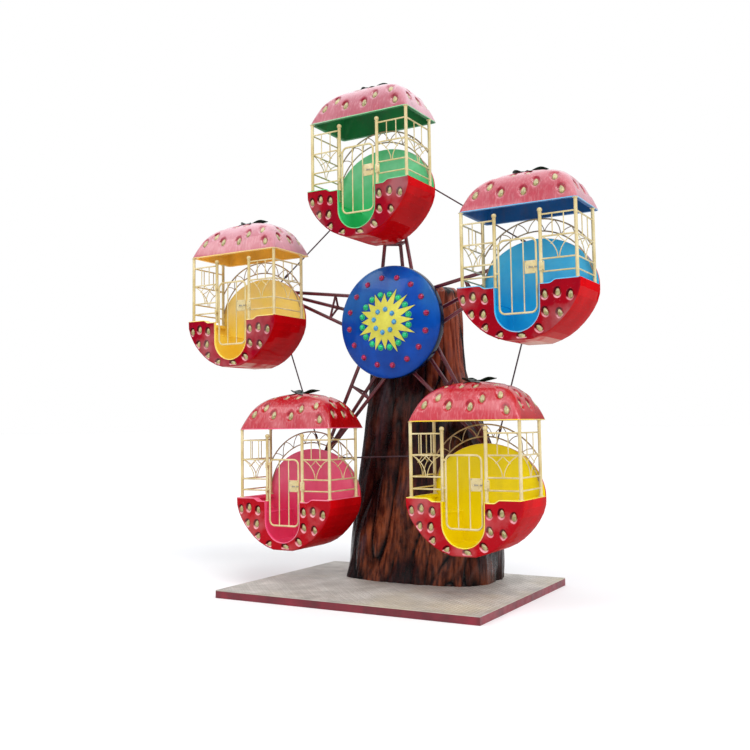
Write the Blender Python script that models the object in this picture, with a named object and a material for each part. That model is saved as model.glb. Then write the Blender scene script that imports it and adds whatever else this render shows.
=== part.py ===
# Small observation wheel with five strawberry cabins, on a tree trunk tower.
# Metres, +Z up, front faces -Y, origin at the centre of the platform underside.
import math

import bmesh
import bpy
from mathutils import Vector

for old in list(bpy.data.objects):
    bpy.data.objects.remove(old, do_unlink=True)

GAP = 0.0003
MERGE = 0.000005
CUT_PAST = 0.05
SMOOTH_ANGLE = math.radians(32)

# Platform
PLATFORM_X = 2.908
PLATFORM_Y = 2.226
FRAME_TOP = 0.070
DECK_TOP = 0.078

# Wheel
HUB_Z = 2.810
PIVOT_R = 1.760
FIRST_ANGLE = math.radians(-1.5)
CABINS = 5
STEP = 2.0 * math.pi / CABINS
HUB_FLAT = 0.360
HUB_Y0 = 0.150
HUB_Y1 = 0.400
AXLE_R = 0.090
AXLE_END_Y = 0.585
RUNNING_FIT = 0.0015

# Arms, measured from the hub centre
ARM_Y = 0.180
ARM_BACK = 0.220
ARM_SPREAD = 0.270
CHORD_R = 0.020
RUNG_R = 0.0125
RUNG_AT = 0.880
FOOT_HALF = 0.245
FOOT_THICK = 0.014
BOSS_R = 0.045
BOSS_Y0 = 0.156
BOSS_Y1 = 0.204
SHAFT_R = 0.020
TIE_R = 0.009

# Disc and star
DISC_R = 0.605
DISC_FACE_Y = -0.140
DISC_CROWN = 0.300
DISC_TURN_R = 0.575
DISC_BACK_Y = 0.064
NECK_R = 0.200
STAR_TIPS = (0.335, 0.385, 0.370, 0.360, 0.295, 0.315, 0.278, 0.312,
             0.287, 0.345, 0.288, 0.325, 0.302, 0.360, 0.330, 0.375)
STAR_VALLEY = 0.196
STAR_FRONT = 0.0103
STAR_UNDER = 0.0052
STAR_SEAT = 0.0008

# Tub, x and z measured from the cabin's pivot
RIM_Z = -0.394
GATE_RIM_Z = -0.424
DIP_HALF = 0.360
TUB_HALF = 0.6035
TUB_Y0 = -0.599
TUB_Y1 = 0.010
TUB_EDGE = 0.014
TUB_SHAPE = ((0.0, TUB_HALF), (0.08, 0.600), (0.16, 0.574), (0.23, 0.535), (0.29, 0.492),
             (0.35, 0.438), (0.41, 0.372), (0.46, 0.300), (0.50, 0.215), (0.53, 0.120))
WALL = 0.025
BENCH_DROP = 0.160
WELL_DROP = 0.460
WELL_HALF = 0.270
INSIDE_BACK_Y = -0.038
FLANGE_X = 0.540
FLANGE_Y0 = -0.515
FLANGE_Y1 = -0.068
FLANGE_DEEP = 0.040
DIP_END_Y = -0.500
GATEWAY_HALF = 0.215
GATEWAY_DROP = 0.235
GATEWAY_END_Y = -0.495
PANEL_Y = -0.012
OVAL_TOP = 0.112
OVAL_INSET = 0.003
OVAL_FOOT = 0.05
OVAL_STEPS = 16
HOUSING_R = 0.055
HOUSING_END_Y = 0.150
HOUSING_ROOT = 0.010

# Cage
POST_X = 0.563
POST_Y0 = -0.548
POST_Y1 = -0.036
POST_R = 0.019
GATE_POST_X = 0.225
GATE_POST_TOP = 0.250
FINIAL = ((0.235, 0.0150), (0.250, 0.0270), (0.270, 0.0250), (0.286, 0.0100))
FINIAL_TURN = 0.37
RAILS = (0.217, 0.012, -0.194, -0.311)
RAIL_WIDE = 0.018
UPRIGHTS = (0.34, 0.66)
UPRIGHT_SIZE = 0.011
CURVE_WIDE = 0.010
ARCH_MID_Z = -0.332
ARCH_R = 0.632
ARCH_WIDE = 0.015
INNER_ARCH_RISE = 0.574
INNER_ARCH_FROM = 9
STRUTS = 8
STRUTS_FROM = 48

# Roof and leaf
ROOF_Z = 0.334
ROOF_H = 0.375
ROOF_HALF_X = 0.584
ROOF_Y0 = -0.569
ROOF_Y1 = 0.105
ROOF_SHAPE = ((0.0, 1.0, 1.0, 0.030), (0.045, 0.978, 0.970, 0.045), (0.10, 0.945, 0.925, 0.065),
              (0.18, 0.883, 0.845, 0.090), (0.25, 0.800, 0.735, 0.110), (0.305, 0.690, 0.590, 0.120),
              (0.345, 0.530, 0.410, 0.100), (ROOF_H, 0.240, 0.210, 0.050))
ROOF_INSIDE = ((-0.05, 0.9335, 0.888, 0.030), (0.03, 0.915, 0.868, 0.040), (0.17, 0.80, 0.74, 0.070),
               (0.26, 0.62, 0.52, 0.080), (0.31, 0.36, 0.28, 0.050))
LEAF_RINGS = ((0.022, 0.0), (0.060, 0.004), (0.115, 0.018), (0.172, 0.050))
LEAF_POINTS = 6
LEAF_TURN = 0.2
LEAF_STRETCH = 1.15
LEAF_THICK = 0.010
LEAF_TIP_THICK = 0.005

# Gate
HINGE_X = -0.200
HINGE_Y = -0.604
HINGE_R = 0.009
POST_BARRELS = (-0.340, -0.075)
BARREL_H = 0.030
GATE_KNUCKLES = (-0.309, -0.044)
KNUCKLE_H = 0.026
POST_STRAP_WIDE = 0.022
GATE_STRAP_WIDE = 0.018
STRAP_THICK = 0.008
GATE_HALF = 0.195
GATE_TOP = 0.024
GATE_LOW = -0.686
GATE_Y = -0.560
GATE_TUBE = 0.022
GATE_CORNER = 0.058
GATE_UPRIGHTS = (0.335, 0.665)
GATE_BAR = 0.012
LATCH_WIDE = 0.095
LATCH_Z0 = -0.310
LATCH_Z1 = -0.210
BOLT_Z = -0.262
BOLT_R = 0.0065
KEEPER_X0 = 0.2115
KEEPER_X1 = 0.262
KEEPER_OUT = 0.0245
KEEPER_IN = 0.010
KEEPER_Z0 = -0.305
KEEPER_Z1 = -0.215

# Trunk, above the deck: height, left, right, front and back
TRUNK_SHAPE = ((0.0, -0.816, 0.898, 0.035, 1.100), (0.20, -0.785, 0.905, 0.080, 1.095),
               (0.50, -0.762, 0.893, 0.135, 1.085), (0.95, -0.725, 0.850, 0.225, 1.065),
               (1.45, -0.665, 0.780, 0.290, 1.050), (1.70, -0.640, 0.680, 0.320, 1.038),
               (2.00, -0.635, 0.565, 0.385, 1.020), (2.25, -0.620, 0.505, 0.430, 1.010),
               (2.70, -0.583, 0.479, 0.440, 0.990), (3.15, -0.546, 0.460, 0.470, 0.970))
TRUNK_RINGS = (0.0, 0.20, 0.50, 0.95, 1.45, 1.70, 2.00, 2.25, 2.70, 3.10)
TRUNK_TOP = 3.150
TRUNK_SIDES = 36
TRUNK_POWER = 3.4
TRUNK_MID_Y = 0.72
TRUNK_CAP_X = 0.90
TRUNK_CAP_Y = 0.88
BROAD_GROOVE = 0.020
FINE_GROOVE = 0.014
SEAT_R = 0.200
SEAT_Y0 = 0.410
SEAT_Y1 = 0.600


def material(name, colour, rough, metal):
    m = bpy.data.materials.new(name)
    m.use_nodes = True
    m.diffuse_color = (*colour, 1.0)
    node = m.node_tree.nodes["Principled BSDF"]
    node.inputs["Base Color"].default_value = (*colour, 1.0)
    node.inputs["Roughness"].default_value = rough
    node.inputs["Metallic"].default_value = metal
    return m


def raw(name, verts, faces):
    mesh = bpy.data.meshes.new(name)
    mesh.from_pydata([tuple(v) for v in verts], [], faces)
    mesh.validate()
    bm = bmesh.new()
    bm.from_mesh(mesh)
    bmesh.ops.recalc_face_normals(bm, faces=bm.faces)
    bm.to_mesh(mesh)
    bm.free()
    ob = bpy.data.objects.new(name, mesh)
    bpy.context.collection.objects.link(ob)
    return ob


def boolean(target, tool, kind):
    mod = target.modifiers.new("b", "BOOLEAN")
    mod.operation = kind
    mod.solver = "EXACT"
    mod.object = tool
    graph = bpy.context.evaluated_depsgraph_get()
    result = bpy.data.meshes.new_from_object(target.evaluated_get(graph))
    target.modifiers.clear()
    before = target.data
    target.data = result
    bpy.data.meshes.remove(before)
    bpy.data.objects.remove(tool, do_unlink=True)


def join(parts):
    base = parts[0]
    for other in parts[1:]:
        boolean(base, other, "UNION")
    return base


def cut(base, tools):
    for tool in tools:
        boolean(base, tool, "DIFFERENCE")
    return base


def weld(ob):
    bm = bmesh.new()
    bm.from_mesh(ob.data)
    bmesh.ops.remove_doubles(bm, verts=bm.verts, dist=MERGE)
    bmesh.ops.dissolve_degenerate(bm, edges=bm.edges, dist=MERGE)
    bm.to_mesh(ob.data)
    bm.free()
    return ob


def loft(rings):
    n = len(rings[0])
    verts = [p for ring in rings for p in ring]
    faces = []
    for i in range(len(rings) - 1):
        for j in range(n):
            k = (j + 1) % n
            faces.append((i * n + j, i * n + k, (i + 1) * n + k, (i + 1) * n + j))
    faces.append(tuple(reversed(range(n))))
    last = (len(rings) - 1) * n
    faces.append(tuple(range(last, last + n)))
    return raw("loft", verts, faces)


def prism_y(outline, y0, y1):
    return loft([[(x, y0, z) for x, z in outline], [(x, y1, z) for x, z in outline]])


def box(x0, x1, y0, y1, z0, z1):
    return prism_y([(x0, z0), (x1, z0), (x1, z1), (x0, z1)], y0, y1)


def mirror_outline(right):
    return right + [(-x, z) for x, z in reversed(right)]


def frame_axes(direction, side):
    d = Vector(direction).normalized()
    s = Vector(side)
    s = (s - d * s.dot(d)).normalized()
    return d, s, d.cross(s)


CORNERS = ((-1, -1), (1, -1), (1, 1), (-1, 1))


def bar(p0, p1, wide, deep, side):
    """Square bar from p0 to p1; deep is measured along the side direction."""
    p0, p1 = Vector(p0), Vector(p1)
    d, s, t = frame_axes(p1 - p0, side)
    rings = []
    for p in (p0, p1):
        rings.append([p + s * a * deep / 2 + t * b * wide / 2 for a, b in CORNERS])
    return loft(rings)


def tube(p0, p1, r, n):
    p0, p1 = Vector(p0), Vector(p1)
    side = (0, 1, 0) if abs((p1 - p0).normalized().y) < 0.9 else (1, 0, 0)
    d, s, t = frame_axes(p1 - p0, side)
    rings = []
    for p in (p0, p1):
        ring = []
        for i in range(n):
            a = 2 * math.pi * (i + 0.5) / n
            ring.append(p + s * r * math.cos(a) + t * r * math.sin(a))
        rings.append(ring)
    return loft(rings)


def ribbon(points, wide, deep, side, closed=False):
    """Bent square bar through points that lie in one plane square to side."""
    pts = [Vector(p) for p in points]
    s = Vector(side).normalized()
    n = len(pts)
    rings = []
    for i, p in enumerate(pts):
        if closed:
            a = (p - pts[i - 1]).normalized()
            b = (pts[(i + 1) % n] - p).normalized()
        else:
            a = (p - pts[i - 1]).normalized() if i else (pts[1] - p).normalized()
            b = (pts[i + 1] - p).normalized() if i < n - 1 else a
        mid = (a + b).normalized()
        t = mid.cross(s)
        reach = wide / 2 / max(0.5, mid.dot(a))
        rings.append([p + s * u * deep / 2 + t * v * reach for u, v in CORNERS])
    if not closed:
        return loft(rings)
    verts = [p for ring in rings for p in ring]
    faces = []
    for i in range(n):
        j = (i + 1) % n
        for k in range(4):
            m = (k + 1) % 4
            faces.append((i * 4 + k, i * 4 + m, j * 4 + m, j * 4 + k))
    return raw("ring", verts, faces)


def lathe(profile, n):
    """Solid turned about the Y axis from (radius, y) points that start and end at radius 0."""
    verts, rings = [], []
    for r, y in profile:
        if r < MERGE:
            rings.append([len(verts)])
            verts.append((0, y, 0))
            continue
        rings.append(list(range(len(verts), len(verts) + n)))
        for i in range(n):
            a = 2 * math.pi * i / n
            verts.append((r * math.cos(a), y, r * math.sin(a)))
    faces = []
    for a, b in zip(rings, rings[1:]):
        for i in range(n):
            j = (i + 1) % n
            if len(a) == 1:
                faces.append((a[0], b[i], b[j]))
            elif len(b) == 1:
                faces.append((a[i], a[j], b[0]))
            else:
                faces.append((a[i], a[j], b[j], b[i]))
    return raw("lathe", verts, faces)


def round_rect(half_x, half_y, corner, per_corner, z, mid_y):
    ring = []
    for sx, sy, start in ((1, 1, 0), (-1, 1, 90), (-1, -1, 180), (1, -1, 270)):
        for i in range(per_corner):
            t = math.radians(start + 90 * i / (per_corner - 1))
            x = sx * (half_x - corner) + corner * math.cos(t)
            y = sy * (half_y - corner) + corner * math.sin(t)
            ring.append((x, mid_y + y, z))
    return ring


def tub_half(drop):
    """Half width of the tub at a depth below its rim."""
    for (d0, w0), (d1, w1) in zip(TUB_SHAPE, TUB_SHAPE[1:]):
        if drop <= d1:
            return w0 + (w1 - w0) * (drop - d0) / (d1 - d0)
    return TUB_SHAPE[-1][1]


def tub_outline(inset):
    deepest = TUB_SHAPE[-1][0] - inset
    right = [(half - inset, RIM_Z - min(drop, deepest)) for drop, half in TUB_SHAPE]
    return mirror_outline(right)


def half_circle(mid_z, r, n, top_z):
    """Outline that comes down from top_z, round the lower half of a circle, and up again."""
    points = [(r, top_z)]
    for i in range(n + 1):
        a = -math.pi * i / n
        points.append((r * math.cos(a), mid_z + r * math.sin(a)))
    points.append((-r, top_z))
    return points


def build_tub():
    stations = ((TUB_Y0, TUB_EDGE), (TUB_Y0 + TUB_EDGE, 0.0), (TUB_Y1 - TUB_EDGE, 0.0), (TUB_Y1, TUB_EDGE))
    tub = loft([[(x, y, z) for x, z in tub_outline(inset)] for y, inset in stations])
    # Back wall that rises above the rim as half an oval
    half = TUB_HALF - OVAL_INSET
    oval = [(half, RIM_Z - OVAL_FOOT), (half, RIM_Z + 0.02)]
    for i in range(1, OVAL_STEPS):
        a = math.pi * i / OVAL_STEPS
        oval.append((half * math.cos(a), RIM_Z + (OVAL_TOP - RIM_Z) * math.sin(a)))
    oval += [(-half, RIM_Z + 0.02), (-half, RIM_Z - OVAL_FOOT)]
    tub = join([tub, prism_y(oval, PANEL_Y, TUB_Y1 - 0.0005)])
    # Inner space: a foot well between two side benches
    inner = [(tub_half(drop) - WALL, RIM_Z - drop) for drop in (0.030, 0.08, 0.12, BENCH_DROP)]
    inner += [(WELL_HALF, RIM_Z - BENCH_DROP), (WELL_HALF, RIM_Z - WELL_DROP)]
    hollow = prism_y(mirror_outline(inner), TUB_Y0 + WALL, INSIDE_BACK_Y)
    above = RIM_Z + CUT_PAST
    mouth = box(-FLANGE_X, FLANGE_X, FLANGE_Y0, FLANGE_Y1, RIM_Z - FLANGE_DEEP, above)
    lower = box(-DIP_HALF, DIP_HALF, TUB_Y0 - CUT_PAST, DIP_END_Y, GATE_RIM_Z, above)
    arch = half_circle(RIM_Z - GATEWAY_DROP, GATEWAY_HALF, 12, above + 0.01)
    gateway = prism_y(arch, TUB_Y0 - CUT_PAST, GATEWAY_END_Y)
    cut(tub, [hollow, mouth, lower, gateway])
    # Bearing at the back that takes the pivot shaft
    root = PANEL_Y + HOUSING_ROOT
    boss = join([tub, tube((0, root, 0), (0, HOUSING_END_Y, 0), HOUSING_R, 20)])
    cut(boss, [tube((0, root - 0.002, 0), (0, HOUSING_END_Y + 0.02, 0), SHAFT_R + RUNNING_FIT, 16)])
    return weld(boss)


def panel_bars(p0, p1, side):
    """Rails, two uprights and a tulip between two posts. Sizes differ a little so faces never coincide."""
    p0, p1 = Vector(p0), Vector(p1)

    def at(f, z):
        q = p0.lerp(p1, f)
        return (q.x, q.y, z)

    parts = []
    for i, z in enumerate(RAILS):
        parts.append(bar(at(0, z), at(1, z), RAIL_WIDE, RAIL_WIDE - 0.001 + 0.0006 * i, side))
    for f in UPRIGHTS:
        parts.append(bar(at(f, RAILS[0]), at(f, RAILS[1]), UPRIGHT_SIZE, UPRIGHT_SIZE, side))
    top = RAILS[1]
    drop = RAILS[1] - RAILS[2]
    left, right = [], []
    for i in range(5):
        turn = i / 4 * math.pi / 2
        f = 0.03 + 0.44 * math.sin(turn)
        z = top - drop * (1 - math.cos(turn)) ** 0.85
        left.append(at(f, z))
        right.append(at(1 - f, z))
    parts.append(ribbon(left, CURVE_WIDE, CURVE_WIDE - 0.0016, side))
    parts.append(ribbon(right, CURVE_WIDE, CURVE_WIDE - 0.0008, side))
    return parts


def build_cage_side(s):
    """Left (s -1) or right (s 1) part of the cage: posts, side panel and front panel."""
    x = s * POST_X
    gate_x = s * GATE_POST_X
    parts = []
    for y in (POST_Y0, POST_Y1):
        parts.append(tube((x, y, RIM_Z + GAP), (x, y, ROOF_Z - GAP), POST_R, 6))
    parts.append(tube((gate_x, POST_Y0, GATE_RIM_Z + GAP), (gate_x, POST_Y0, GATE_POST_TOP), POST_R, 6))
    ball = []
    for z, r in FINIAL:
        ring = []
        for i in range(6):
            a = 2 * math.pi * (i + FINIAL_TURN) / 6
            ring.append((gate_x + r * math.cos(a), POST_Y0 + r * math.sin(a), z))
        ball.append(ring)
    parts.append(loft(ball))
    parts += panel_bars((x, POST_Y0, 0), (gate_x, POST_Y0, 0), (0, 1, 0))
    parts += panel_bars((x, POST_Y0, 0), (x, POST_Y1, 0), (1, 0, 0))
    if s > 0:
        # Keeper that the slide bolt reaches
        parts.append(box(KEEPER_X0, KEEPER_X1, POST_Y0 - KEEPER_OUT, POST_Y0 - KEEPER_IN, KEEPER_Z0, KEEPER_Z1))
        return weld(join(parts))
    for z in POST_BARRELS:
        mid = z + BARREL_H / 2
        parts.append(tube((HINGE_X, HINGE_Y, z), (HINGE_X, HINGE_Y, z + BARREL_H), HINGE_R, 6))
        root = (gate_x + 0.004, POST_Y0, mid)
        parts.append(bar(root, (HINGE_X, HINGE_Y, mid), POST_STRAP_WIDE, STRAP_THICK, (-1, -0.45, 0)))
    return weld(join(parts))


def build_cage_back():
    """Two arch rails between the back posts, with struts between them."""
    outer, inner = [], []
    for i in range(11):
        x = POST_X * math.cos(math.pi * i / 10)
        outer.append((x, POST_Y1, ARCH_MID_Z + math.sqrt(ARCH_R ** 2 - x * x)))
        a = math.radians(INNER_ARCH_FROM + (180 - 2 * INNER_ARCH_FROM) * i / 10)
        inner.append((POST_X * math.cos(a), POST_Y1, RIM_Z + INNER_ARCH_RISE * math.sin(a)))
    parts = [ribbon(outer, ARCH_WIDE, ARCH_WIDE, (0, 1, 0)),
             ribbon(inner, ARCH_WIDE, ARCH_WIDE - 0.0012, (0, 1, 0))]
    for i in range(STRUTS):
        a0 = math.radians(STRUTS_FROM + (180 - 2 * STRUTS_FROM) * i / STRUTS)
        a1 = math.radians(STRUTS_FROM + (180 - 2 * STRUTS_FROM) * (i + 1) / STRUTS)
        if i % 2:
            a0, a1 = a1, a0
        p = (ARCH_R * math.cos(a0), POST_Y1, ARCH_MID_Z + ARCH_R * math.sin(a0))
        q = (POST_X * math.cos(a1), POST_Y1, RIM_Z + INNER_ARCH_RISE * math.sin(a1))
        parts.append(bar(p, q, CURVE_WIDE, CURVE_WIDE + 0.0008 * (i % 2), (0, 1, 0)))
    back = join(parts)
    # The rails end on the back posts
    end = POST_X - POST_R - GAP
    y0, y1 = POST_Y1 - 0.1, POST_Y1 + 0.1
    trims = [box(end, end + 0.2, y0, y1, -0.6, 0.6), box(-end - 0.2, -end, y0, y1, -0.6, 0.6)]
    return weld(cut(back, trims))


def build_roof():
    mid_y = (ROOF_Y0 + ROOF_Y1) / 2
    half_y = (ROOF_Y1 - ROOF_Y0) / 2
    rings = [round_rect(ROOF_HALF_X * a, half_y * b, c, 7, ROOF_Z + z, mid_y) for z, a, b, c in ROOF_SHAPE]
    inside = [round_rect(ROOF_HALF_X * a, half_y * b, c, 5, ROOF_Z + z, mid_y) for z, a, b, c in ROOF_INSIDE]
    return weld(cut(loft(rings), [loft(inside)]))


def build_leaf():
    mid_y = (ROOF_Y0 + ROOF_Y1) / 2
    base = ROOF_Z + ROOF_H + GAP
    top, low = [], []
    for r, rise in LEAF_RINGS:
        thick = LEAF_THICK if r < LEAF_RINGS[-1][0] else LEAF_TIP_THICK
        up, down = [], []
        for i in range(2 * LEAF_POINTS):
            a = math.pi * i / LEAF_POINTS + LEAF_TURN
            reach = r if i % 2 == 0 else min(r, 0.040 + 0.22 * r)
            lift = base + (rise if i % 2 == 0 else rise * 0.25)
            x = reach * LEAF_STRETCH * math.cos(a)
            y = mid_y + reach * math.sin(a)
            up.append((x, y, lift + thick))
            down.append((x, y, lift))
        top.append(up)
        low.append(down)
    return weld(loft(low + list(reversed(top))))


def build_gate():
    """Gate in coordinates measured from its hinge line, at pivot height."""
    y = GATE_Y - HINGE_Y
    half_tube = GATE_TUBE / 2
    x0 = -GATE_HALF - HINGE_X + half_tube
    x1 = GATE_HALF - HINGE_X - half_tube
    z0 = GATE_LOW + half_tube
    z1 = GATE_TOP - half_tube
    r = GATE_CORNER
    pts = []
    middles = ((x1 - r, z1 - r, 0), (x0 + r, z1 - r, 90), (x0 + r, z0 + r, 180), (x1 - r, z0 + r, 270))
    for cx, cz, start in middles:
        for i in range(4):
            a = math.radians(start + 90 * i / 3)
            pts.append((cx + r * math.cos(a), y, cz + r * math.sin(a)))
    parts = [ribbon(pts, GATE_TUBE, GATE_TUBE, (0, 1, 0), closed=True)]
    for f in GATE_UPRIGHTS:
        x = x0 + (x1 - x0) * f
        parts.append(bar((x, y, z0), (x, y, z1), GATE_BAR, GATE_BAR, (0, 1, 0)))
    # Latch plate, slide bolt and the knuckles on the hinge line
    parts.append(box(x1 - LATCH_WIDE, x1 + 0.007, y - 0.0165, y - 0.0045, LATCH_Z0, LATCH_Z1))
    bolt_y = y - 0.019
    parts.append(tube((x1 - LATCH_WIDE + 0.01, bolt_y, BOLT_Z), (x1 + 0.014, bolt_y, BOLT_Z), BOLT_R, 6))
    for z in GATE_KNUCKLES:
        mid = z + KNUCKLE_H / 2
        parts.append(tube((0, 0, z), (0, 0, z + KNUCKLE_H), HINGE_R, 6))
        parts.append(bar((0, 0, mid), (x0 + 0.002, y - 0.003, mid), GATE_STRAP_WIDE, STRAP_THICK, (-1, 0.4, 0)))
    return weld(join(parts))


def build_arm():
    """Three-chord arm that points up from the hub centre."""
    foot = HUB_FLAT + GAP
    tip = Vector((0, ARM_Y, PIVOT_R))
    starts = ((-ARM_SPREAD, ARM_Y), (ARM_SPREAD, ARM_Y), (0.0, ARM_Y + ARM_BACK))
    parts = [box(-FOOT_HALF, FOOT_HALF, HUB_Y0 + 0.004, HUB_Y1 - 0.004, foot, foot + FOOT_THICK)]
    nodes = []
    for x, y in starts:
        start = Vector((x, y, 0))
        line = tip - start
        nodes.append(start + line * (RUNG_AT / PIVOT_R))
        parts.append(tube(start + line * ((foot + FOOT_THICK / 2) / PIVOT_R), tip, CHORD_R, 6))
    parts.append(tube((0, BOSS_Y0, PIVOT_R), (0, BOSS_Y1, PIVOT_R), BOSS_R, 12))
    parts.append(tube((0, PANEL_Y + 0.014, PIVOT_R), (0, BOSS_Y0 + 0.02, PIVOT_R), SHAFT_R, 12))
    for a, b in ((0, 1), (0, 2), (1, 2)):
        parts.append(tube(nodes[a], nodes[b], RUNG_R, 6))
    return weld(join(parts))


def build_tie():
    half = PIVOT_R * math.sin(STEP / 2) - BOSS_R + GAP
    z = PIVOT_R * math.cos(STEP / 2)
    return tube((-half, ARM_Y, z), (half, ARM_Y, z), TIE_R, 8)


def build_hub():
    r = HUB_FLAT / math.cos(math.pi / CABINS)
    outline = []
    for i in range(CABINS):
        a = FIRST_ANGLE + STEP * (i + 0.5)
        outline.append((r * math.sin(a), r * math.cos(a)))
    drum = prism_y(outline, HUB_Y0, HUB_Y1)
    return weld(join([drum, tube((0, HUB_Y1 - 0.05, 0), (0, AXLE_END_Y, 0), AXLE_R, 24)]))


def face_y(r):
    """Front surface of the disc at a radius."""
    return DISC_FACE_Y + DISC_CROWN * r * r


def build_disc():
    profile = [(r, face_y(r)) for r in (0.0, 0.08, 0.16, 0.24, 0.32, 0.42, 0.50, DISC_TURN_R)]
    profile += [(0.594, -0.028), (DISC_R - 0.002, -0.008), (DISC_R, 0.016), (DISC_R, DISC_BACK_Y - 0.010)]
    neck_end = HUB_Y0 - GAP
    profile += [(DISC_R - 0.008, DISC_BACK_Y), (NECK_R, DISC_BACK_Y), (NECK_R, neck_end), (0.0, neck_end)]
    return lathe(profile, 40)


def build_star():
    """Sixteen-point sheet that follows the disc."""
    points = len(STAR_TIPS)
    under, over = [], []
    for f, lift in ((0.12, STAR_SEAT), (0.45, STAR_UNDER), (0.75, STAR_UNDER), (1.0, STAR_UNDER)):
        back, front = [], []
        for i in range(2 * points):
            a = math.pi * i / points
            r = f * (STAR_TIPS[i // 2] if i % 2 == 0 else STAR_VALLEY)
            x, z = r * math.cos(a), r * math.sin(a)
            back.append((x, face_y(r) - lift, z))
            front.append((x, face_y(r) - STAR_FRONT, z))
        under.append(back)
        over.append(front)
    return loft(under + list(reversed(over)))


def trunk_sides(z):
    """Left, right, front and back of the trunk at a height above the deck."""
    for lo, hi in zip(TRUNK_SHAPE, TRUNK_SHAPE[1:]):
        if z <= hi[0]:
            f = max(0.0, (z - lo[0]) / (hi[0] - lo[0]))
            return [p + (q - p) * f for p, q in zip(lo[1:], hi[1:])]
    return TRUNK_SHAPE[-1][1:]


def trunk_point(z, t):
    """Outline of the trunk at a height; t runs round it from 0 to 1."""
    x0, x1, y0, y1 = trunk_sides(z)
    a = 2 * math.pi * t
    c, s = math.cos(a), math.sin(a)
    x = math.copysign(abs(c) ** (2 / TRUNK_POWER), c)
    y = math.copysign(abs(s) ** (2 / TRUNK_POWER), s)
    groove = 1.0 - BROAD_GROOVE * (0.5 + 0.5 * math.cos(11 * a + 1.7 * math.sin(0.9 * z)))
    groove -= FINE_GROOVE * (0.5 + 0.5 * math.cos(17 * a + 2.0 + 0.6 * z))
    return (x0 + x1) / 2 + (x1 - x0) / 2 * x * groove, (y0 + y1) / 2 + (y1 - y0) / 2 * y * groove


def build_trunk():
    n = TRUNK_SIDES
    base = DECK_TOP + GAP
    rings = [[(*trunk_point(z, i / n), base + z) for i in range(n)] for z in TRUNK_RINGS]
    cap = []
    for i in range(n):
        x, y = trunk_point(TRUNK_TOP, i / n)
        cap.append((x * TRUNK_CAP_X, TRUNK_MID_Y + (y - TRUNK_MID_Y) * TRUNK_CAP_Y, base + TRUNK_TOP))
    trunk = loft(rings + [cap])
    return weld(cut(trunk, [tube((0, 0.20, HUB_Z), (0, SEAT_Y1 + GAP, HUB_Z), SEAT_R + GAP, 24)]))


def build_housing():
    body = tube((0, SEAT_Y0, HUB_Z), (0, SEAT_Y1, HUB_Z), SEAT_R, 24)
    return cut(body, [tube((0, 0.35, HUB_Z), (0, AXLE_END_Y + 0.005, HUB_Z), AXLE_R + RUNNING_FIT, 24)])


def finish(ob, name, mat, location=(0, 0, 0), turn=0.0):
    ob.name = name
    ob.data.materials.clear()
    ob.data.materials.append(mat)
    ob.location = location
    ob.rotation_euler = (0, turn, 0)
    for face in ob.data.polygons:
        face.use_smooth = True
    ob.data.set_sharp_from_angle(angle=SMOOTH_ANGLE)
    return ob


def place(mesh, name, location, turn=0.0):
    ob = bpy.data.objects.new(name, mesh)
    bpy.context.collection.objects.link(ob)
    ob.location = location
    ob.rotation_euler = (0, turn, 0)


red = material("strawberry_red", (0.560, 0.010, 0.022), 0.25, 0.0)
roof_red = material("roof_red", (0.640, 0.022, 0.030), 0.22, 0.0)
cream = material("cream_enamel", (0.780, 0.640, 0.330), 0.38, 0.0)
leaf_green = material("leaf_green", (0.010, 0.085, 0.040), 0.35, 0.0)
maroon = material("maroon_steel", (0.130, 0.014, 0.018), 0.42, 0.4)
black_rod = material("dark_rod", (0.030, 0.012, 0.014), 0.45, 0.6)
blue = material("disc_blue", (0.006, 0.060, 0.420), 0.18, 0.0)
yellow = material("star_yellow", (0.830, 0.700, 0.090), 0.35, 0.0)
bark = material("trunk_brown", (0.085, 0.022, 0.012), 0.38, 0.0)
steel = material("bearing_steel", (0.180, 0.180, 0.190), 0.42, 0.9)
edge_red = material("platform_red", (0.230, 0.010, 0.018), 0.45, 0.2)
plate = material("tread_plate", (0.480, 0.480, 0.470), 0.42, 0.75)

half_x, half_y = PLATFORM_X / 2, PLATFORM_Y / 2
finish(box(-half_x, half_x, -half_y, half_y, 0.0, FRAME_TOP), "platform_frame", edge_red)
finish(box(-half_x, half_x, -half_y, half_y, FRAME_TOP + GAP, DECK_TOP), "deck_plate", plate)
finish(build_trunk(), "trunk_tower", bark)
finish(build_housing(), "axle_housing", steel)

hub_at = (0, 0, HUB_Z)
finish(build_hub(), "hub_drum", steel, hub_at)
finish(build_disc(), "hub_disc", blue, hub_at)
finish(build_star(), "hub_star", yellow, hub_at)

arm_mesh = finish(build_arm(), "arm_1", maroon, hub_at, FIRST_ANGLE).data
tie_mesh = finish(build_tie(), "tie_rod_1", black_rod, hub_at, FIRST_ANGLE + STEP / 2).data
for k in range(1, CABINS):
    place(arm_mesh, "arm_%d" % (k + 1), hub_at, FIRST_ANGLE + STEP * k)
    place(tie_mesh, "tie_rod_%d" % (k + 1), hub_at, FIRST_ANGLE + STEP * (k + 0.5))

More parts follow.
